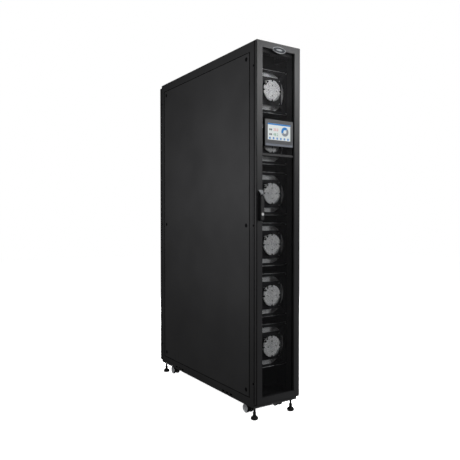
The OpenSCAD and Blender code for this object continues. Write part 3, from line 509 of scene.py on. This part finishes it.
def honeycomb(name, node, body, lower, upper, s):
    # six-sided holes on a triangular grid, whose odd rows are moved by half a pitch: webs join the sides
    # of neighbouring holes and small triangles fill where three meet; everything past the sheet's edge
    # is pressed onto the edge, and a face left with no area there is dropped
    a, b = low(node), high(node)
    pitch, web = s["pitch"] * mm, s["web"] * mm
    row = pitch * math.sqrt(3) / 2
    cols = int((b[0] - a[0]) / pitch) + 4
    rows = int((upper - lower) / row) + 3
    r, c = np.meshgrid(np.arange(rows) + int(lower / row), np.arange(cols), indexing="ij")
    odd = r % 2
    size = (pitch - web) / math.sqrt(3)
    turn = np.radians(30 + 60 * np.arange(6))
    x = ((c + odd / 2 - cols / 2) * pitch)[..., None] + size * np.cos(turn)
    z = (r * row)[..., None] + size * np.sin(turn)
    flat = np.stack([np.clip(x, a[0], b[0]).ravel(), np.clip(z, lower, upper).ravel()], -1)

    holes = np.arange(rows * cols * 6).reshape(rows, cols, 6)
    here, right = holes[:, :-1], holes[:, 1:]
    mine, beside = holes[:-1, 1:-1], holes[:-1, 2:]
    i, j = np.meshgrid(np.arange(1, rows), np.arange(1, cols - 1), indexing="ij")
    j += odd[:-1, 1:-1]  # the hole up and to the right is one further on from an odd row
    upRight, upLeft = holes[i, j], holes[i, j - 1]

    def joined(*corners):
        # one face at every hole, from pairs of a hole and the number of its corner
        return np.stack([hole[..., k] for hole, k in corners], -1).reshape(-1, len(corners))

    faces = [joined((here, 5), (right, 3), (right, 2), (here, 0)),
             joined((mine, 0), (upRight, 4), (upRight, 3), (mine, 1)),
             joined((mine, 1), (upLeft, 5), (upLeft, 4), (mine, 2)),
             joined((mine, 0), (beside, 2), (upRight, 4)),
             joined((mine, 1), (upRight, 3), (upLeft, 5))]
    least = s["least"] * mm * mm
    faces = [f[areas(flat[f]) > least] for f in faces]
    rims = holes.reshape(-1, 6)
    rims = rims[areas(flat[rims]) > least]
    k = len(flat)
    onward = np.roll(rims, -1, 1)
    walls = np.stack([rims, rims + k, onward + k, onward], -1).reshape(-1, 4)
    points = np.concatenate([np.column_stack([flat[:, 0], np.full(k, y), flat[:, 1]]) for y in (a[1], b[1])])
    piece = meshPiece(name, points, faces + [f[:, ::-1] + k for f in faces] + [walls], meshPaint, body)
    return piece


def doorSheet(name, node, body):
    # two halves, one above the other, so that each stays a light mesh
    a, b = low(node), high(node)
    half = (a[2] + b[2]) / 2
    lower = honeycomb(name + "_lower", node, body, a[2], half, sheetSettings)
    honeycomb(name + "_upper", node, body, half, b[2], sheetSettings)
    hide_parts(node)


doorSheet("front_sheet", "front_door_mesh", "front_door")
doorSheet("rear_sheet", "rear_door_mesh", "rear_door")
print("perforated sheets made")

screenSettings = {
    # millimetres, or shares of the screen's width and height
    "proud": 0.12, "radius": 0.3, "edge": 0.05,  # the picture's parts above the screen
    "colours": {"blue": "#2f7abf", "red": "#d65f66", "green": "#3f9068", "grey": "#53565b",
                "ring_grey": "#858a92"},
    "bar": (0.09, 0.953),  # its height, and its middle
    "labels": (0.095, 0.158), "labelSize": (0.05, 0.11), "rows": (0.62, 0.33),
    "figures": (("warm", "25.0", "red"), ("share", "48.2", "green")),
    "figureAcross": 0.35, "figureTall": 0.155, "figureLift": 0.1, "figureThick": 0.06,
    "gauge": (0.755, 0.555), "inner": 10.5, "outer": 25.5,
    "sectors": (("blue", "blue", -115, 45, 20), ("grey", "ring_grey", 49, 241, 28)),
    "buttons": 6, "firstButton": 0.095, "buttonStep": 0.16, "buttonUp": 0.1,
    "button": (11.0, 2.4), "mark": (3.0, 1.0, 0.1, 0.03),  # side, radius, lift and edge
}


def textPiece(name, words, height, thick, centre, material, body):
    # plain figures as a thin mesh on the screen, of the given height in metres
    curve = bpy.data.curves.new(name, "FONT")
    curve.body = words
    curve.align_x = "CENTER"
    curve.align_y = "CENTER"
    curve.size = height / 0.7  # a figure is 0.7 of its font's size
    curve.extrude = thick / 2
    holder = bpy.data.objects.new(name + "_curve", curve)
    bpy.context.collection.objects.link(holder)
    bpy.context.view_layer.update()
    mesh = bpy.data.meshes.new_from_object(holder)
    bpy.data.objects.remove(holder)
    points = np.empty(len(mesh.vertices) * 3)
    mesh.vertices.foreach_get("co", points)
    points = points.reshape(-1, 3) @ facing["front"] + np.array(centre)
    mesh.vertices.foreach_set("co", points.ravel())
    mesh.name = name
    mesh.materials.clear()
    mesh.materials.append(material)
    piece = bpy.data.objects.new(name, mesh)
    bpy.context.collection.objects.link(piece)
    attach(piece, body)


def ringSector(name, centre, inner, outer, start, end, thick, material, body, steps):
    # a flat ring's sector: two arcs about one centre, between two angles in degrees clockwise from the top
    angle = np.radians(90 - np.linspace(start, end, steps))
    ring = np.stack([np.cos(angle), np.sin(angle)], -1)
    outline = np.concatenate([ring * inner, ring[::-1] * outer])
    stackPiece(name, [outline, outline], [0, thick], "front", centre, material, body)


def makeScreen(s):
    a, b = low("display_screen"), high("display_screen")
    width, height = b[0] - a[0], b[2] - a[2]
    w, h, t, radius, edge = width / mm, height / mm, s["proud"], s["radius"], s["edge"]
    lit = {word: litGlass("backlit_" + word, colour, 1.0) for word, colour in s["colours"].items()}

    def at(u, v):
        # u across and v up, each 0 to 1 over the screen
        return np.array([a[0] + u * width, a[1], a[2] + v * height])

    tile("screen_title_bar", w - 1, h * s["bar"][0], t, radius, "front", at(0.5, s["bar"][1]), lit["blue"],
         "front_door", edge)
    for k, v in enumerate(s["rows"]):
        for u, mark in zip(s["labels"], ("", "b")):
            tile(f"screen_label_{k + 1}{mark}", w * s["labelSize"][0], h * s["labelSize"][1], t, radius,
                 "front", at(u, v), lit["grey"], "front_door", edge)
    for (word, figure, colour), v in zip(s["figures"], s["rows"]):
        textPiece("screen_figure_" + word, figure, s["figureTall"] * height, s["figureThick"] * mm,
                  at(s["figureAcross"], v) + [0, -s["figureLift"] * mm, 0], lit[colour], "front_door")
    for word, colour, start, end, steps in s["sectors"]:
        ringSector("screen_gauge_" + word, at(*s["gauge"]), s["inner"] * mm, s["outer"] * mm, start, end,
                   t * mm, lit[colour], "front_door", steps)
    side, corner = s["button"]
    markSide, markCorner, lift, markEdge = s["mark"]
    for k in range(s["buttons"]):
        place = at(s["firstButton"] + k * s["buttonStep"], s["buttonUp"])
        tile(f"screen_button_{k + 1}", side, side, t, corner, "front", place, lit["blue"], "front_door", edge)
        tile(f"screen_button_{k + 1}_mark", markSide, markSide, t + lift, markCorner, "front", place,
             screenGlass, "front_door", markEdge)


makeScreen(screenSettings)


def objectAxes(tree, folded=False):
    # the shaded point in object coordinates, and its X, Y and Z; all are made positive if folded
    place = addNode(tree, "ShaderNodeTexCoord").outputs["Object"]
    if folded:
        place = addNode(tree, "ShaderNodeVectorMath", {"operation": "ABSOLUTE"}, {0: place}).outputs[0]
    return place, addNode(tree, "ShaderNodeSeparateXYZ", None, {"Vector": place}).outputs


def recolour(tree, shader, limits, colour):
    # another colour where every source lies between its two limits in metres: each is compared with
    # the middle of its limits, and the results are multiplied
    amount = None
    for source, least, most in limits:
        test = addNode(tree, "ShaderNodeMath",
                       {"operation": "COMPARE", 1: (least + most) / 2, 2: (most - least) / 2}, {0: source})
        if amount is not None:
            test = addNode(tree, "ShaderNodeMath", {"operation": "MULTIPLY"},
                           {0: amount, 1: test.outputs[0]})
        amount = test.outputs[0]
    target = shader.inputs["Base Color"]
    old = target.links[0].from_socket
    addNode(tree, "ShaderNodeMix", {"data_type": "RGBA", 7: linear(colour)}, {0: amount, 6: old}, {2: target})


def redress(names, material):
    for name in names:
        nodes[name].data.materials.clear()
        nodes[name].data.materials.append(material)


displaySettings = {
    # the black of the case's sides is painted shade
    "front": "#37383a", "sides": "#060607", "bezel": 1.1,  # millimetres of the case that are front
    "grain": 2.5, "height": 0.1, "rough": (0.38, 0.5),
    "strip": (189, 11, 0.7, 1.2), "stripIn": 0.6, "stripUp": 8.25,  # width, height, thickness, radius
}


def dressDisplay(s):
    # the bezel front stays grey, the sides are painted black as painted shade, and the strip along the bottom
    # is blue-grey
    a, b = low("display_case"), high("display_case")
    material, tree, shader = newMaterial("moulded_display_case", "#3e4044", 0.45, IOR=1.5)
    place, axes = objectAxes(tree)
    front = addNode(tree, "ShaderNodeMath", {"operation": "LESS_THAN", 1: a[1] + s["bezel"] * mm},
                    {0: axes["Y"]})
    addNode(tree, "ShaderNodeMix", {"data_type": "RGBA", 6: linear(s["sides"]), 7: linear(s["front"])},
            {0: front.outputs[0]}, {2: shader.inputs["Base Color"]})
    grain = addNode(tree, "ShaderNodeTexNoise", {"Scale": 1 / (s["grain"] * mm), "Detail": 2.0},
                    {"Vector": place})
    relief(tree, shader, grain.outputs["Fac"], s["rough"], grain.outputs["Fac"], s["height"] * mm)
    redress(("display_case",), material)
    strip = np.array([(a[0] + b[0]) / 2, a[1] + s["stripIn"] * mm, a[2] + s["stripUp"] * mm])
    tile("display_strip", *s["strip"], "front", strip, chinPlastic, "front_door")


dressDisplay(displaySettings)
print("display made")

doorSettings = {
    # the paler side colour is painted light; the dark colour is painted shade at the front corner and the back
    "sides": "#323233", "dark": "#060607",
    "skin": 0.7, "corner": 4.5, "behind": 1.5,  # millimetres of side, of dark corner and of dark back
}


def dressDoors(s):
    # the folded sides of the doors are paler than their faces, which is painted light, and the corner between
    # them and the door's back are dark, which is painted shade
    material = powderCoat("powder_coated_door_painted_light_and_shade", "#1f1f20", "#232324", 0.42)
    tree = material.node_tree
    shader = tree.nodes["Principled BSDF"]
    axes = objectAxes(tree, True)[1]
    a, b = low("front_door_frame"), high("front_door_frame")
    corner = s["corner"] * mm
    recolour(tree, shader, [(axes["X"], b[0] - s["skin"] * mm, reach)], s["sides"])
    recolour(tree, shader, [(axes["X"], b[0] - corner, reach), (axes["Y"], -a[1] - corner, reach)], s["dark"])
    recolour(tree, shader, [(axes["Y"], -reach, abs(b[1]) + s["behind"] * mm)], s["dark"])
    redress(("front_door_frame", "rear_door_frame"), material)


# the black inside colour is painted shade
baseSettings = {"insideShade": "#030303", "skin": 0.6, "end": 30.0}  # millimetres of painted side and end


def dressBase(s):
    # the inside of the base frame is painted black as painted shade, which shows through the slots
    material = powderCoat("powder_coated_steel_painted_shade_inside", "#2c2c2d", "#313132")
    tree = material.node_tree
    axes = objectAxes(tree, True)[1]
    b = high("base_frame")
    recolour(tree, tree.nodes["Principled BSDF"],
             [(axes["X"], -reach, b[0] - s["skin"] * mm), (axes["Y"], -reach, b[1] - s["end"] * mm)],
             s["insideShade"])
    redress(("base_frame",), material)


motorSettings = {
    # millimetres from the fan's axis to the connector's sockets and to the flat opposite, which carries
    # painted shade, the nearest and furthest side of each socket along the connector, and the depth of the
    # pale face
    "socket": 49.0, "flat": 47.0, "near": 3.0, "far": 16.0, "face": 1.2,
    "sockets": "#060607", "flatShade": "#939597", "pale": "#e4e4e0",
}


def dressMotors(s):
    # the connector on each rim has two black sockets, and the flat opposite is drawn a duller grey as painted
    # shade; both are found by their distance from the fan's axis: the height is wrapped to one fan's pitch,
    # and the place is measured along the two diagonals through the axis
    material = castAluminium("die_cast_motor_face", "#d9dbdd", "#e9eaeb")
    tree = material.node_tree
    shader = tree.nodes["Principled BSDF"]
    place, axes = objectAxes(tree)
    lowest, second = (middle(f"impeller_{i}")[2] for i in (1, 2))
    first, span = np.array([0, 0, lowest]), np.array([reach, reach, (second - lowest) / 2])
    wrapped = addNode(tree, "ShaderNodeVectorMath",
                      {"operation": "WRAP", 1: tuple(first + span), 2: tuple(first - span)}, {0: place})
    local = addNode(tree, "ShaderNodeVectorMath", {"operation": "SUBTRACT", 1: tuple(first)},
                    {0: wrapped.outputs[0]})
    slope = math.sqrt(0.5)
    out, across = (addNode(tree, "ShaderNodeVectorMath", {"operation": "DOT_PRODUCT", 1: way},
                           {0: local.outputs[0]}).outputs["Value"]
                   for way in ((-slope, 0, slope), (slope, 0, slope)))
    along = addNode(tree, "ShaderNodeMath", {"operation": "ABSOLUTE"}, {0: across}).outputs[0]
    # painted shade: the flat opposite the connector is drawn duller
    recolour(tree, shader, [(out, -reach, -s["flat"] * mm)], s["flatShade"])
    recolour(tree, shader, [(along, s["near"] * mm, s["far"] * mm), (out, s["socket"] * mm, reach)],
             s["sockets"])
    recolour(tree, shader, [(axes["Y"], -reach, low("fan_motors")[1] + s["face"] * mm)], s["pale"])
    redress(("fan_motors",), material)


wheelSettings = {"tread": 2.0, "rubber": "#0b0b0c"}  # millimetres of black tread on the rim


def dressWheels(s):
    # a pale hub with a black tread, found by the distance from the axle
    material = mouldedPlastic("caster_hub_and_tread", "#c9cbcd", "#d4d6d8", 0.5)
    tree = material.node_tree
    place = objectAxes(tree, True)[0]
    axle = np.abs(middle("wheel_front_left")) * [0, 1, 1]
    upright = addNode(tree, "ShaderNodeVectorMath", {"operation": "MULTIPLY", 1: (0, 1, 1)}, {0: place})
    span = addNode(tree, "ShaderNodeVectorMath", {"operation": "DISTANCE", 1: tuple(axle)},
                   {0: upright.outputs[0]}).outputs["Value"]
    rim = high("wheel_front_left")[2] - axle[2] - s["tread"] * mm
    recolour(tree, tree.nodes["Principled BSDF"], [(span, rim, reach)], s["rubber"])
    redress(("wheel_front_left", "wheel_front_right", "wheel_rear_left", "wheel_rear_right"), material)


# the black of the sides is painted shade
leverSettings = {"face": 3.0, "sides": "#050506"}  # millimetres of charcoal face


def dressLevers(s):
    # the levers' faces are charcoal and their sides are painted black as painted shade
    material = mouldedPlastic("glass_filled_nylon_charcoal", "#1b1b1c", "#222223", 0.46)
    tree = material.node_tree
    y = objectAxes(tree, True)[1]["Y"]
    recolour(tree, tree.nodes["Principled BSDF"], [(y, -reach, -low("front_lever")[1] - s["face"] * mm)],
             s["sides"])
    redress(("front_lever", "rear_lever"), material)


dressDoors(doorSettings)
dressBase(baseSettings)
dressMotors(motorSettings)
dressWheels(wheelSettings)
dressLevers(leverSettings)
# these second colours include painted light on the door sides and painted shade on the doors, base, motors and
# levers
print("two-colour mouldings dressed")

badgeSettings = {
    # millimetres from the badge's edge to the field across and up, its depth, and the field's and
    # the boss's rings: share of the size, and height
    "across": 3.6, "up": 3.5, "sunk": 1.0,
    "field": ((1.0, 0.0), (1.0, 0.3), (0.97, 0.45)),
    "boss": ((1.0, 0.4), (0.95, 0.8), (0.8, 0.95)), "bossSize": (0.52, 0.36),
}


def makeBadgeField(s):
    # a dark enamel oval inside the raised rim, and a smaller plain oval in relief: the cosine and sine
    # of an angle times half the width and half the height
    a, b = low("door_badge"), high("door_badge")
    turn = np.linspace(0, 2 * math.pi, 48, endpoint=False)
    wide, tall = (b[0] - a[0]) / 2 - s["across"] * mm, (b[2] - a[2]) / 2 - s["up"] * mm
    oval = np.stack([wide * np.cos(turn), tall * np.sin(turn)], -1)
    place = np.array([(a[0] + b[0]) / 2, a[1] + s["sunk"] * mm, (a[2] + b[2]) / 2])
    for word, size, material, smooth in (("field", (1, 1), badgeField, False),
                                         ("boss", s["bossSize"], badgeSkin, True)):
        shares, heights = np.array(s[word]).T
        stackPiece("badge_" + word, oval * size * shares[:, None, None], heights * mm, "front", place,
                   material, "front_door", smooth)


makeBadgeField(badgeSettings)

capSettings = {
    # millimetres over the base, above the lever, behind its nose, in from each side, half the width of
    # the nose, thickness, and out from the base's back
    "over": 3.5, "above": 6.0, "nose": 2.0, "side": 0.2, "narrow": 9.0, "thick": 6.0, "root": 6.2,
}


def handleCap(node, lever, out, body, s):
    # a satin cap over the sloping top of the base: a flat four-sided face, narrower towards its nose
    # above the lever, and the same face again one thickness below it
    a, b = low(node), high(node)
    x = (a[0] + b[0]) / 2
    front = low(lever) if out < 0 else high(lever)
    root = (b if out < 0 else a)[1] + out * s["root"] * mm
    top, nose = b[2] + s["over"] * mm, high(lever)[2] + s["above"] * mm
    tip = front[1] - out * s["nose"] * mm
    wide, narrow = (b[0] - a[0]) / 2 - s["side"] * mm, s["narrow"] * mm
    face = np.array([[x - wide, root, top], [x + wide, root, top], [x + narrow, tip, nose],
                     [x - narrow, tip, nose]])
    slope = np.cross(face[1] - face[0], face[2] - face[1])
    slope *= math.copysign(1, slope[2]) / np.linalg.norm(slope)
    meshPiece(node + "_cap", np.concatenate([face - slope * s["thick"] * mm, face]), stackFaces(2, 4),
              capPlastic, body)


handleCap("front_handle_base", "front_lever", -1, "front_door", capSettings)
handleCap("rear_handle_base", "rear_lever", 1, "rear_door", capSettings)
print("badge and handle caps made")

sealSettings = {
    # millimetres: corner radius, half the strip's width, its height, half its span, and its lowest
    # and highest run at each door
    "corner": 12.0, "half": 5.0, "tall": 2.8, "span": 118.0, "front": (106, 2045), "rear": (100, 2035),
}


def sealStrip(name, out, s):
    # a half-round foam strip in the gap behind a door, carried round a rounded rectangle
    post = name + "_left_post"
    y = (low(post) if out < 0 else high(post))[1]
    bottom, top = s[name]
    path = roundedOutline(2 * s["span"], top - bottom, s["corner"]) + [0, (bottom + top) / 2]
    turn = np.linspace(0, math.pi, 7)
    outline = np.stack([s["half"] * np.cos(turn), out * s["tall"] * np.sin(turn)], -1)
    sweepPiece("seal_" + name, np.insert(path * mm, 1, y, axis=1), outline * mm, blackFoamAndShade, "cabinet")


sealStrip("front", -1, sealSettings)
sealStrip("rear", 1, sealSettings)

seamSettings = {
    # millimetres: the gap round a side panel, the strip's lap over it, how far it stands out and how
    # deep it goes, the strip beside a door and the middle of that gap from the post
    "gap": 3.0, "lap": 1.3, "proud": 0.12, "deep": 1.2, "door": 5.5, "middle": 3.6,
}


def panelSeam(side, out, s):
    # a black strip of painted shade over the gap round a side panel, lapping onto the panel and the post: a
    # flat outline carried round a rectangle
    a, b = low(side + "_side_panel"), high(side + "_side_panel")
    x = a[0] if out < 0 else b[0]
    away = s["gap"] / 2 * mm
    y0, y1, z0, z1 = a[1] - away, b[1] + away, a[2] + away, b[2] + away
    path = np.array([[x, y0, z0], [x, y1, z0], [x, y1, z1], [x, y0, z1]])
    w, top, bottom = (s["gap"] / 2 + s["lap"]) * math.sqrt(2), s["proud"], s["proud"] - s["deep"]
    outline = np.array([[w, top], [w, bottom], [-w, bottom], [-w, top]]) * mm
    sweepPiece("panel_shade_strip_" + side, path, outline, blackFoamAndShade, "cabinet", True, (out, 0, 0))


def doorSeam(name, word, side, out, s):
    # a black strip of painted shade down the post's edge beside a door, filling the gap up to the door's
    # clearance:
    # one rectangle at the door's lowest and highest point
    post = high(name + "_left_post") if out > 0 else low(name + "_left_post")
    y = post[1] + out * (s["middle"] - s["door"] / 2) * mm
    x = side * (high("right_side_panel")[0] + s["proud"] * mm)
    door = name + "_door_frame"
    w, deep = s["door"] / 2 * mm, side * s["deep"] * mm
    corners = np.array([[x, y - w], [x, y + w], [x - deep, y + w], [x - deep, y - w]])
    points = stackPoints([corners, corners], [low(door)[2], high(door)[2]])
    meshPiece(f"{name}_gap_shade_{word}", points, stackFaces(2, 4), blackFoamAndShade, "cabinet")


panelSeam("left", -1, seamSettings)
panelSeam("right", 1, seamSettings)
for side, word in ((-1, "left"), (1, "right")):
    doorSeam("front", word, side, -1, seamSettings)
    doorSeam("rear", word, side, 1, seamSettings)
print("seals and seams made")

threadSettings = {"crest": 13.0, "root": 11.6, "pitch": 2.0, "from": 39.0, "to": 69.5}  # millimetres


def footThread(foot, s):
    # ridges turned about the foot's stem: the radius goes up and down between root and crest
    heights = np.arange(s["from"], s["to"], s["pitch"] / 2)
    radii = np.where(np.arange(len(heights)) % 2, s["crest"], s["root"]) / 2
    profile = np.column_stack([radii, heights])
    lathePiece(foot + "_thread", profile, 20, "up", middle(foot) * [1, 1, 0], footRubber, foot)


for foot in ("foot_front_left", "foot_front_right", "foot_rear_left", "foot_rear_right"):
    footThread(foot, threadSettings)

fanCentres = np.array([[0, 0, middle(f"impeller_{i + 1}")[2]] for i in range(6)])
hemSettings = {"tall": 3.2, "deep": 1.2, "in": 1.7, "short": 2.0}  # millimetres


def trayHems(s):
    # the front edge of every tray is turned over at the top and bottom into a half-round hem
    a, b = low("fan_trays"), high("fan_trays")
    half = (b[0] - a[0]) / 2
    end = half - s["short"] * mm
    turn = np.linspace(0, math.pi, 7)
    outline = np.stack([s["tall"] / 2 * np.cos(turn), -s["deep"] * np.sin(turn)], -1) * mm
    for i, centre in enumerate(fanCentres):
        for side, word in ((-1, "lower"), (1, "upper")):
            z = centre[2] + side * (half - s["in"] * mm)
            path = np.array([[-end, a[1], z], [end, a[1], z]])
            sweepPiece(f"tray_hem_{i + 1}_{word}", path, outline, hemZinc, "cabinet", False)


trayHems(hemSettings)

holeCapSettings = {
    # millimetres: radius and height of the cap's outline, and where the caps are
    "outline": ((6.6, 0), (6.6, 0.95), (6.2, 1.1), (0.01, 1.2)),
    "out": 149.0, "along": (-568.0, 568.0), "heights": (205.0, 1070.5, 1936.0),
}


def holeShadeCaps(side, way, s):
    # black caps over the bolt holes for the next cabinet, as painted shade where the holes show dark: a
    # shallow cap turned about its axis
    # painted shade: a black cap stands for the dark inside of each hole
    places = [[side * s["out"] * mm, y * mm, z * mm] for y in s["along"] for z in s["heights"]]
    lathePiece("bolt_hole_shade_caps_" + way, s["outline"], 20, way, places, blackNylonAndShade, "cabinet")


washerSettings = {
    # millimetres: the fastener's diameter, the washer's, how far it reaches under the fastener,
    # how deep it sits and stands out, and the slope of its edge
    "fastener": 16.0, "outer": 23.0, "under": 0.5, "sunk": 0.4, "thick": 0.2, "slope": 0.1, "steps": 28,
}


def fastenerRings(side, way, s):
    # a flat black washer round each quarter-turn fastener: a four-sided section turned about its axis
    a, b = low("panel_fasteners"), high("panel_fasteners")
    r, outer, steps = s["fastener"] / 2, s["outer"] / 2, s["steps"]
    y, z0, z1 = b[1] - r * mm, a[2] + r * mm, b[2] - r * mm
    places = [[side * b[0], v, z] for v in (-y, y) for z in (z0, (z0 + z1) / 2, z1)]
    section = [(r - s["under"], -s["sunk"]), (outer, -s["sunk"]), (outer - s["slope"], s["thick"]),
               (r - s["under"], s["thick"])]
    i = np.arange(steps)
    j = (i + 1) % steps
    k = np.arange(4)[:, None]
    here, onward = k * steps, (k + 1) % 4 * steps
    faces = [np.stack([here + i, here + j, onward + j, onward + i], -1).reshape(-1, 4)]
    copiesPiece("fastener_washers_" + way, lathePoints(section, steps) * mm, faces, way, places,
                blackNylonAndShade, "cabinet", False)


for side, way in ((-1, "left"), (1, "right")):
    holeShadeCaps(side, way, holeCapSettings)
    fastenerRings(side, way, washerSettings)
# the plugs are the hole caps of painted shade
print("threads, hems, plugs and washers made")

screwSettings = {
    # head diameter, head height and socket width in millimetres
    "cap": (8.0, 3.2, 4.0), "pan": (7.0, 2.2, 2.889), "small": (5.0, 1.6, 2.222),
    # the head's outline: share of its diameter and of its height; then how deep the socket's floor is
    "outline": ((1.0, 0.0), (1.0, 0.55), (0.86, 0.9), (0.62, 1.0)), "floor": 0.4, "steps": 18,
    # millimetres from the fan's axis to each circle of screws, and out from the node's front
    "motor": (29.0, 1.9), "bracket": (91.5, 0.0), "end": (114.0 * math.sqrt(2), 0.0), "ring": (89.5, 14.5),
}


def screws(name, kind, circle, node, angles, material, s):
    # a round head with a domed rim and a round socket sunk in its top, at every angle round every fan
    wide, tall, socket = s[kind]
    shares, heights = np.array(s["outline"] + ((socket / wide, 1.0), (socket / wide, s["floor"]))).T
    rings = shares[:, None, None] * roundOutline(wide * mm, s["steps"])
    radius, out = s[circle]
    places = aroundFans(radius * mm, angles, low(node)[1] + out * mm)
    stackPiece(name, rings, heights * tall * mm, "front", places, material, "cabinet")


def aroundFans(radius, angles, y):
    # places at each angle in degrees round every fan's axis
    turn = np.radians(np.asarray(angles, float))
    ring = np.stack([radius * np.cos(turn), np.zeros(len(turn)), radius * np.sin(turn)], -1)
    return (fanCentres[:, None, :] + ring[None, :, :] + [0, y, 0]).reshape(-1, 3)


notchShadeSettings = {
    # millimetres: width, length, corner radius, depth, thickness, slope of the edge, distance from the
    # fan's axis, and place behind the motor's front
    "wide": 8.0, "long": 12.0, "corner": 1.2, "deep": 3.0, "thick": 2.0, "slope": 0.4, "radius": 55.5,
    "behind": 3.0,
}


def rimNotchShades(s):
    # four black plates at the top, bottom and sides of each motor's rim stand as painted shade in its notches:
    # rounded plates whose last ring is nine tenths of the first
    face = low("fan_motors")[1] + s["behind"] * mm
    heights = np.array([-s["deep"], s["thick"] - s["slope"], s["thick"]]) * mm
    for word, wide, tall, angles in (("upright", s["wide"], s["long"], (90, 270)),
                                     ("level", s["long"], s["wide"], (0, 180))):
        shape = roundedOutline(wide, tall, s["corner"]) * mm
        stackPiece("motor_notch_shades_" + word, [shape, shape, shape * 0.9], heights, "front",
                   aroundFans(s["radius"] * mm, angles, face), blackNylonAndShade, "cabinet")


square, diagonal = (0, 90, 180, 270), (45, 135, 225, 315)
screws("motor_screws", "pan", "motor", "fan_motors", square, screwSteel, screwSettings)
rimNotchShades(notchShadeSettings)
screws("bracket_screws", "cap", "bracket", "fan_brackets", diagonal, zincPlate, screwSettings)
screws("bracket_end_screws", "cap", "end", "fan_brackets", diagonal, zincPlate, screwSettings)
screws("inlet_ring_screws", "small", "ring", "inlet_rings", range(20, 380, 45), zincPlate, screwSettings)
# the clips are the rim plates of painted shade
print("screws and clips made")

floorSettings = {"half": 12.0, "below": 0.0005, "colour": "#f2f2f2", "glow": 0.95}  # metres


def makeFloor(s):
    # a pale floor that the lamps whiten, and that throws no light of its own onto the object
    material, _, shader = newMaterial("pale_floor", s["colour"], 0.9)
    shader.inputs["Emission Color"].default_value = (1, 1, 1, 1)
    shader.inputs["Emission Strength"].default_value = s["glow"]
    points = np.array([[-1, -1, 0], [1, -1, 0], [1, 1, 0], [-1, 1, 0]]) * s["half"] - [0, 0, s["below"]]
    floor = meshPiece("floor", points, [[[0, 1, 2, 3]]], material, None)
    floor.visible_diffuse = False
    floor.visible_glossy = False


makeFloor(floorSettings)
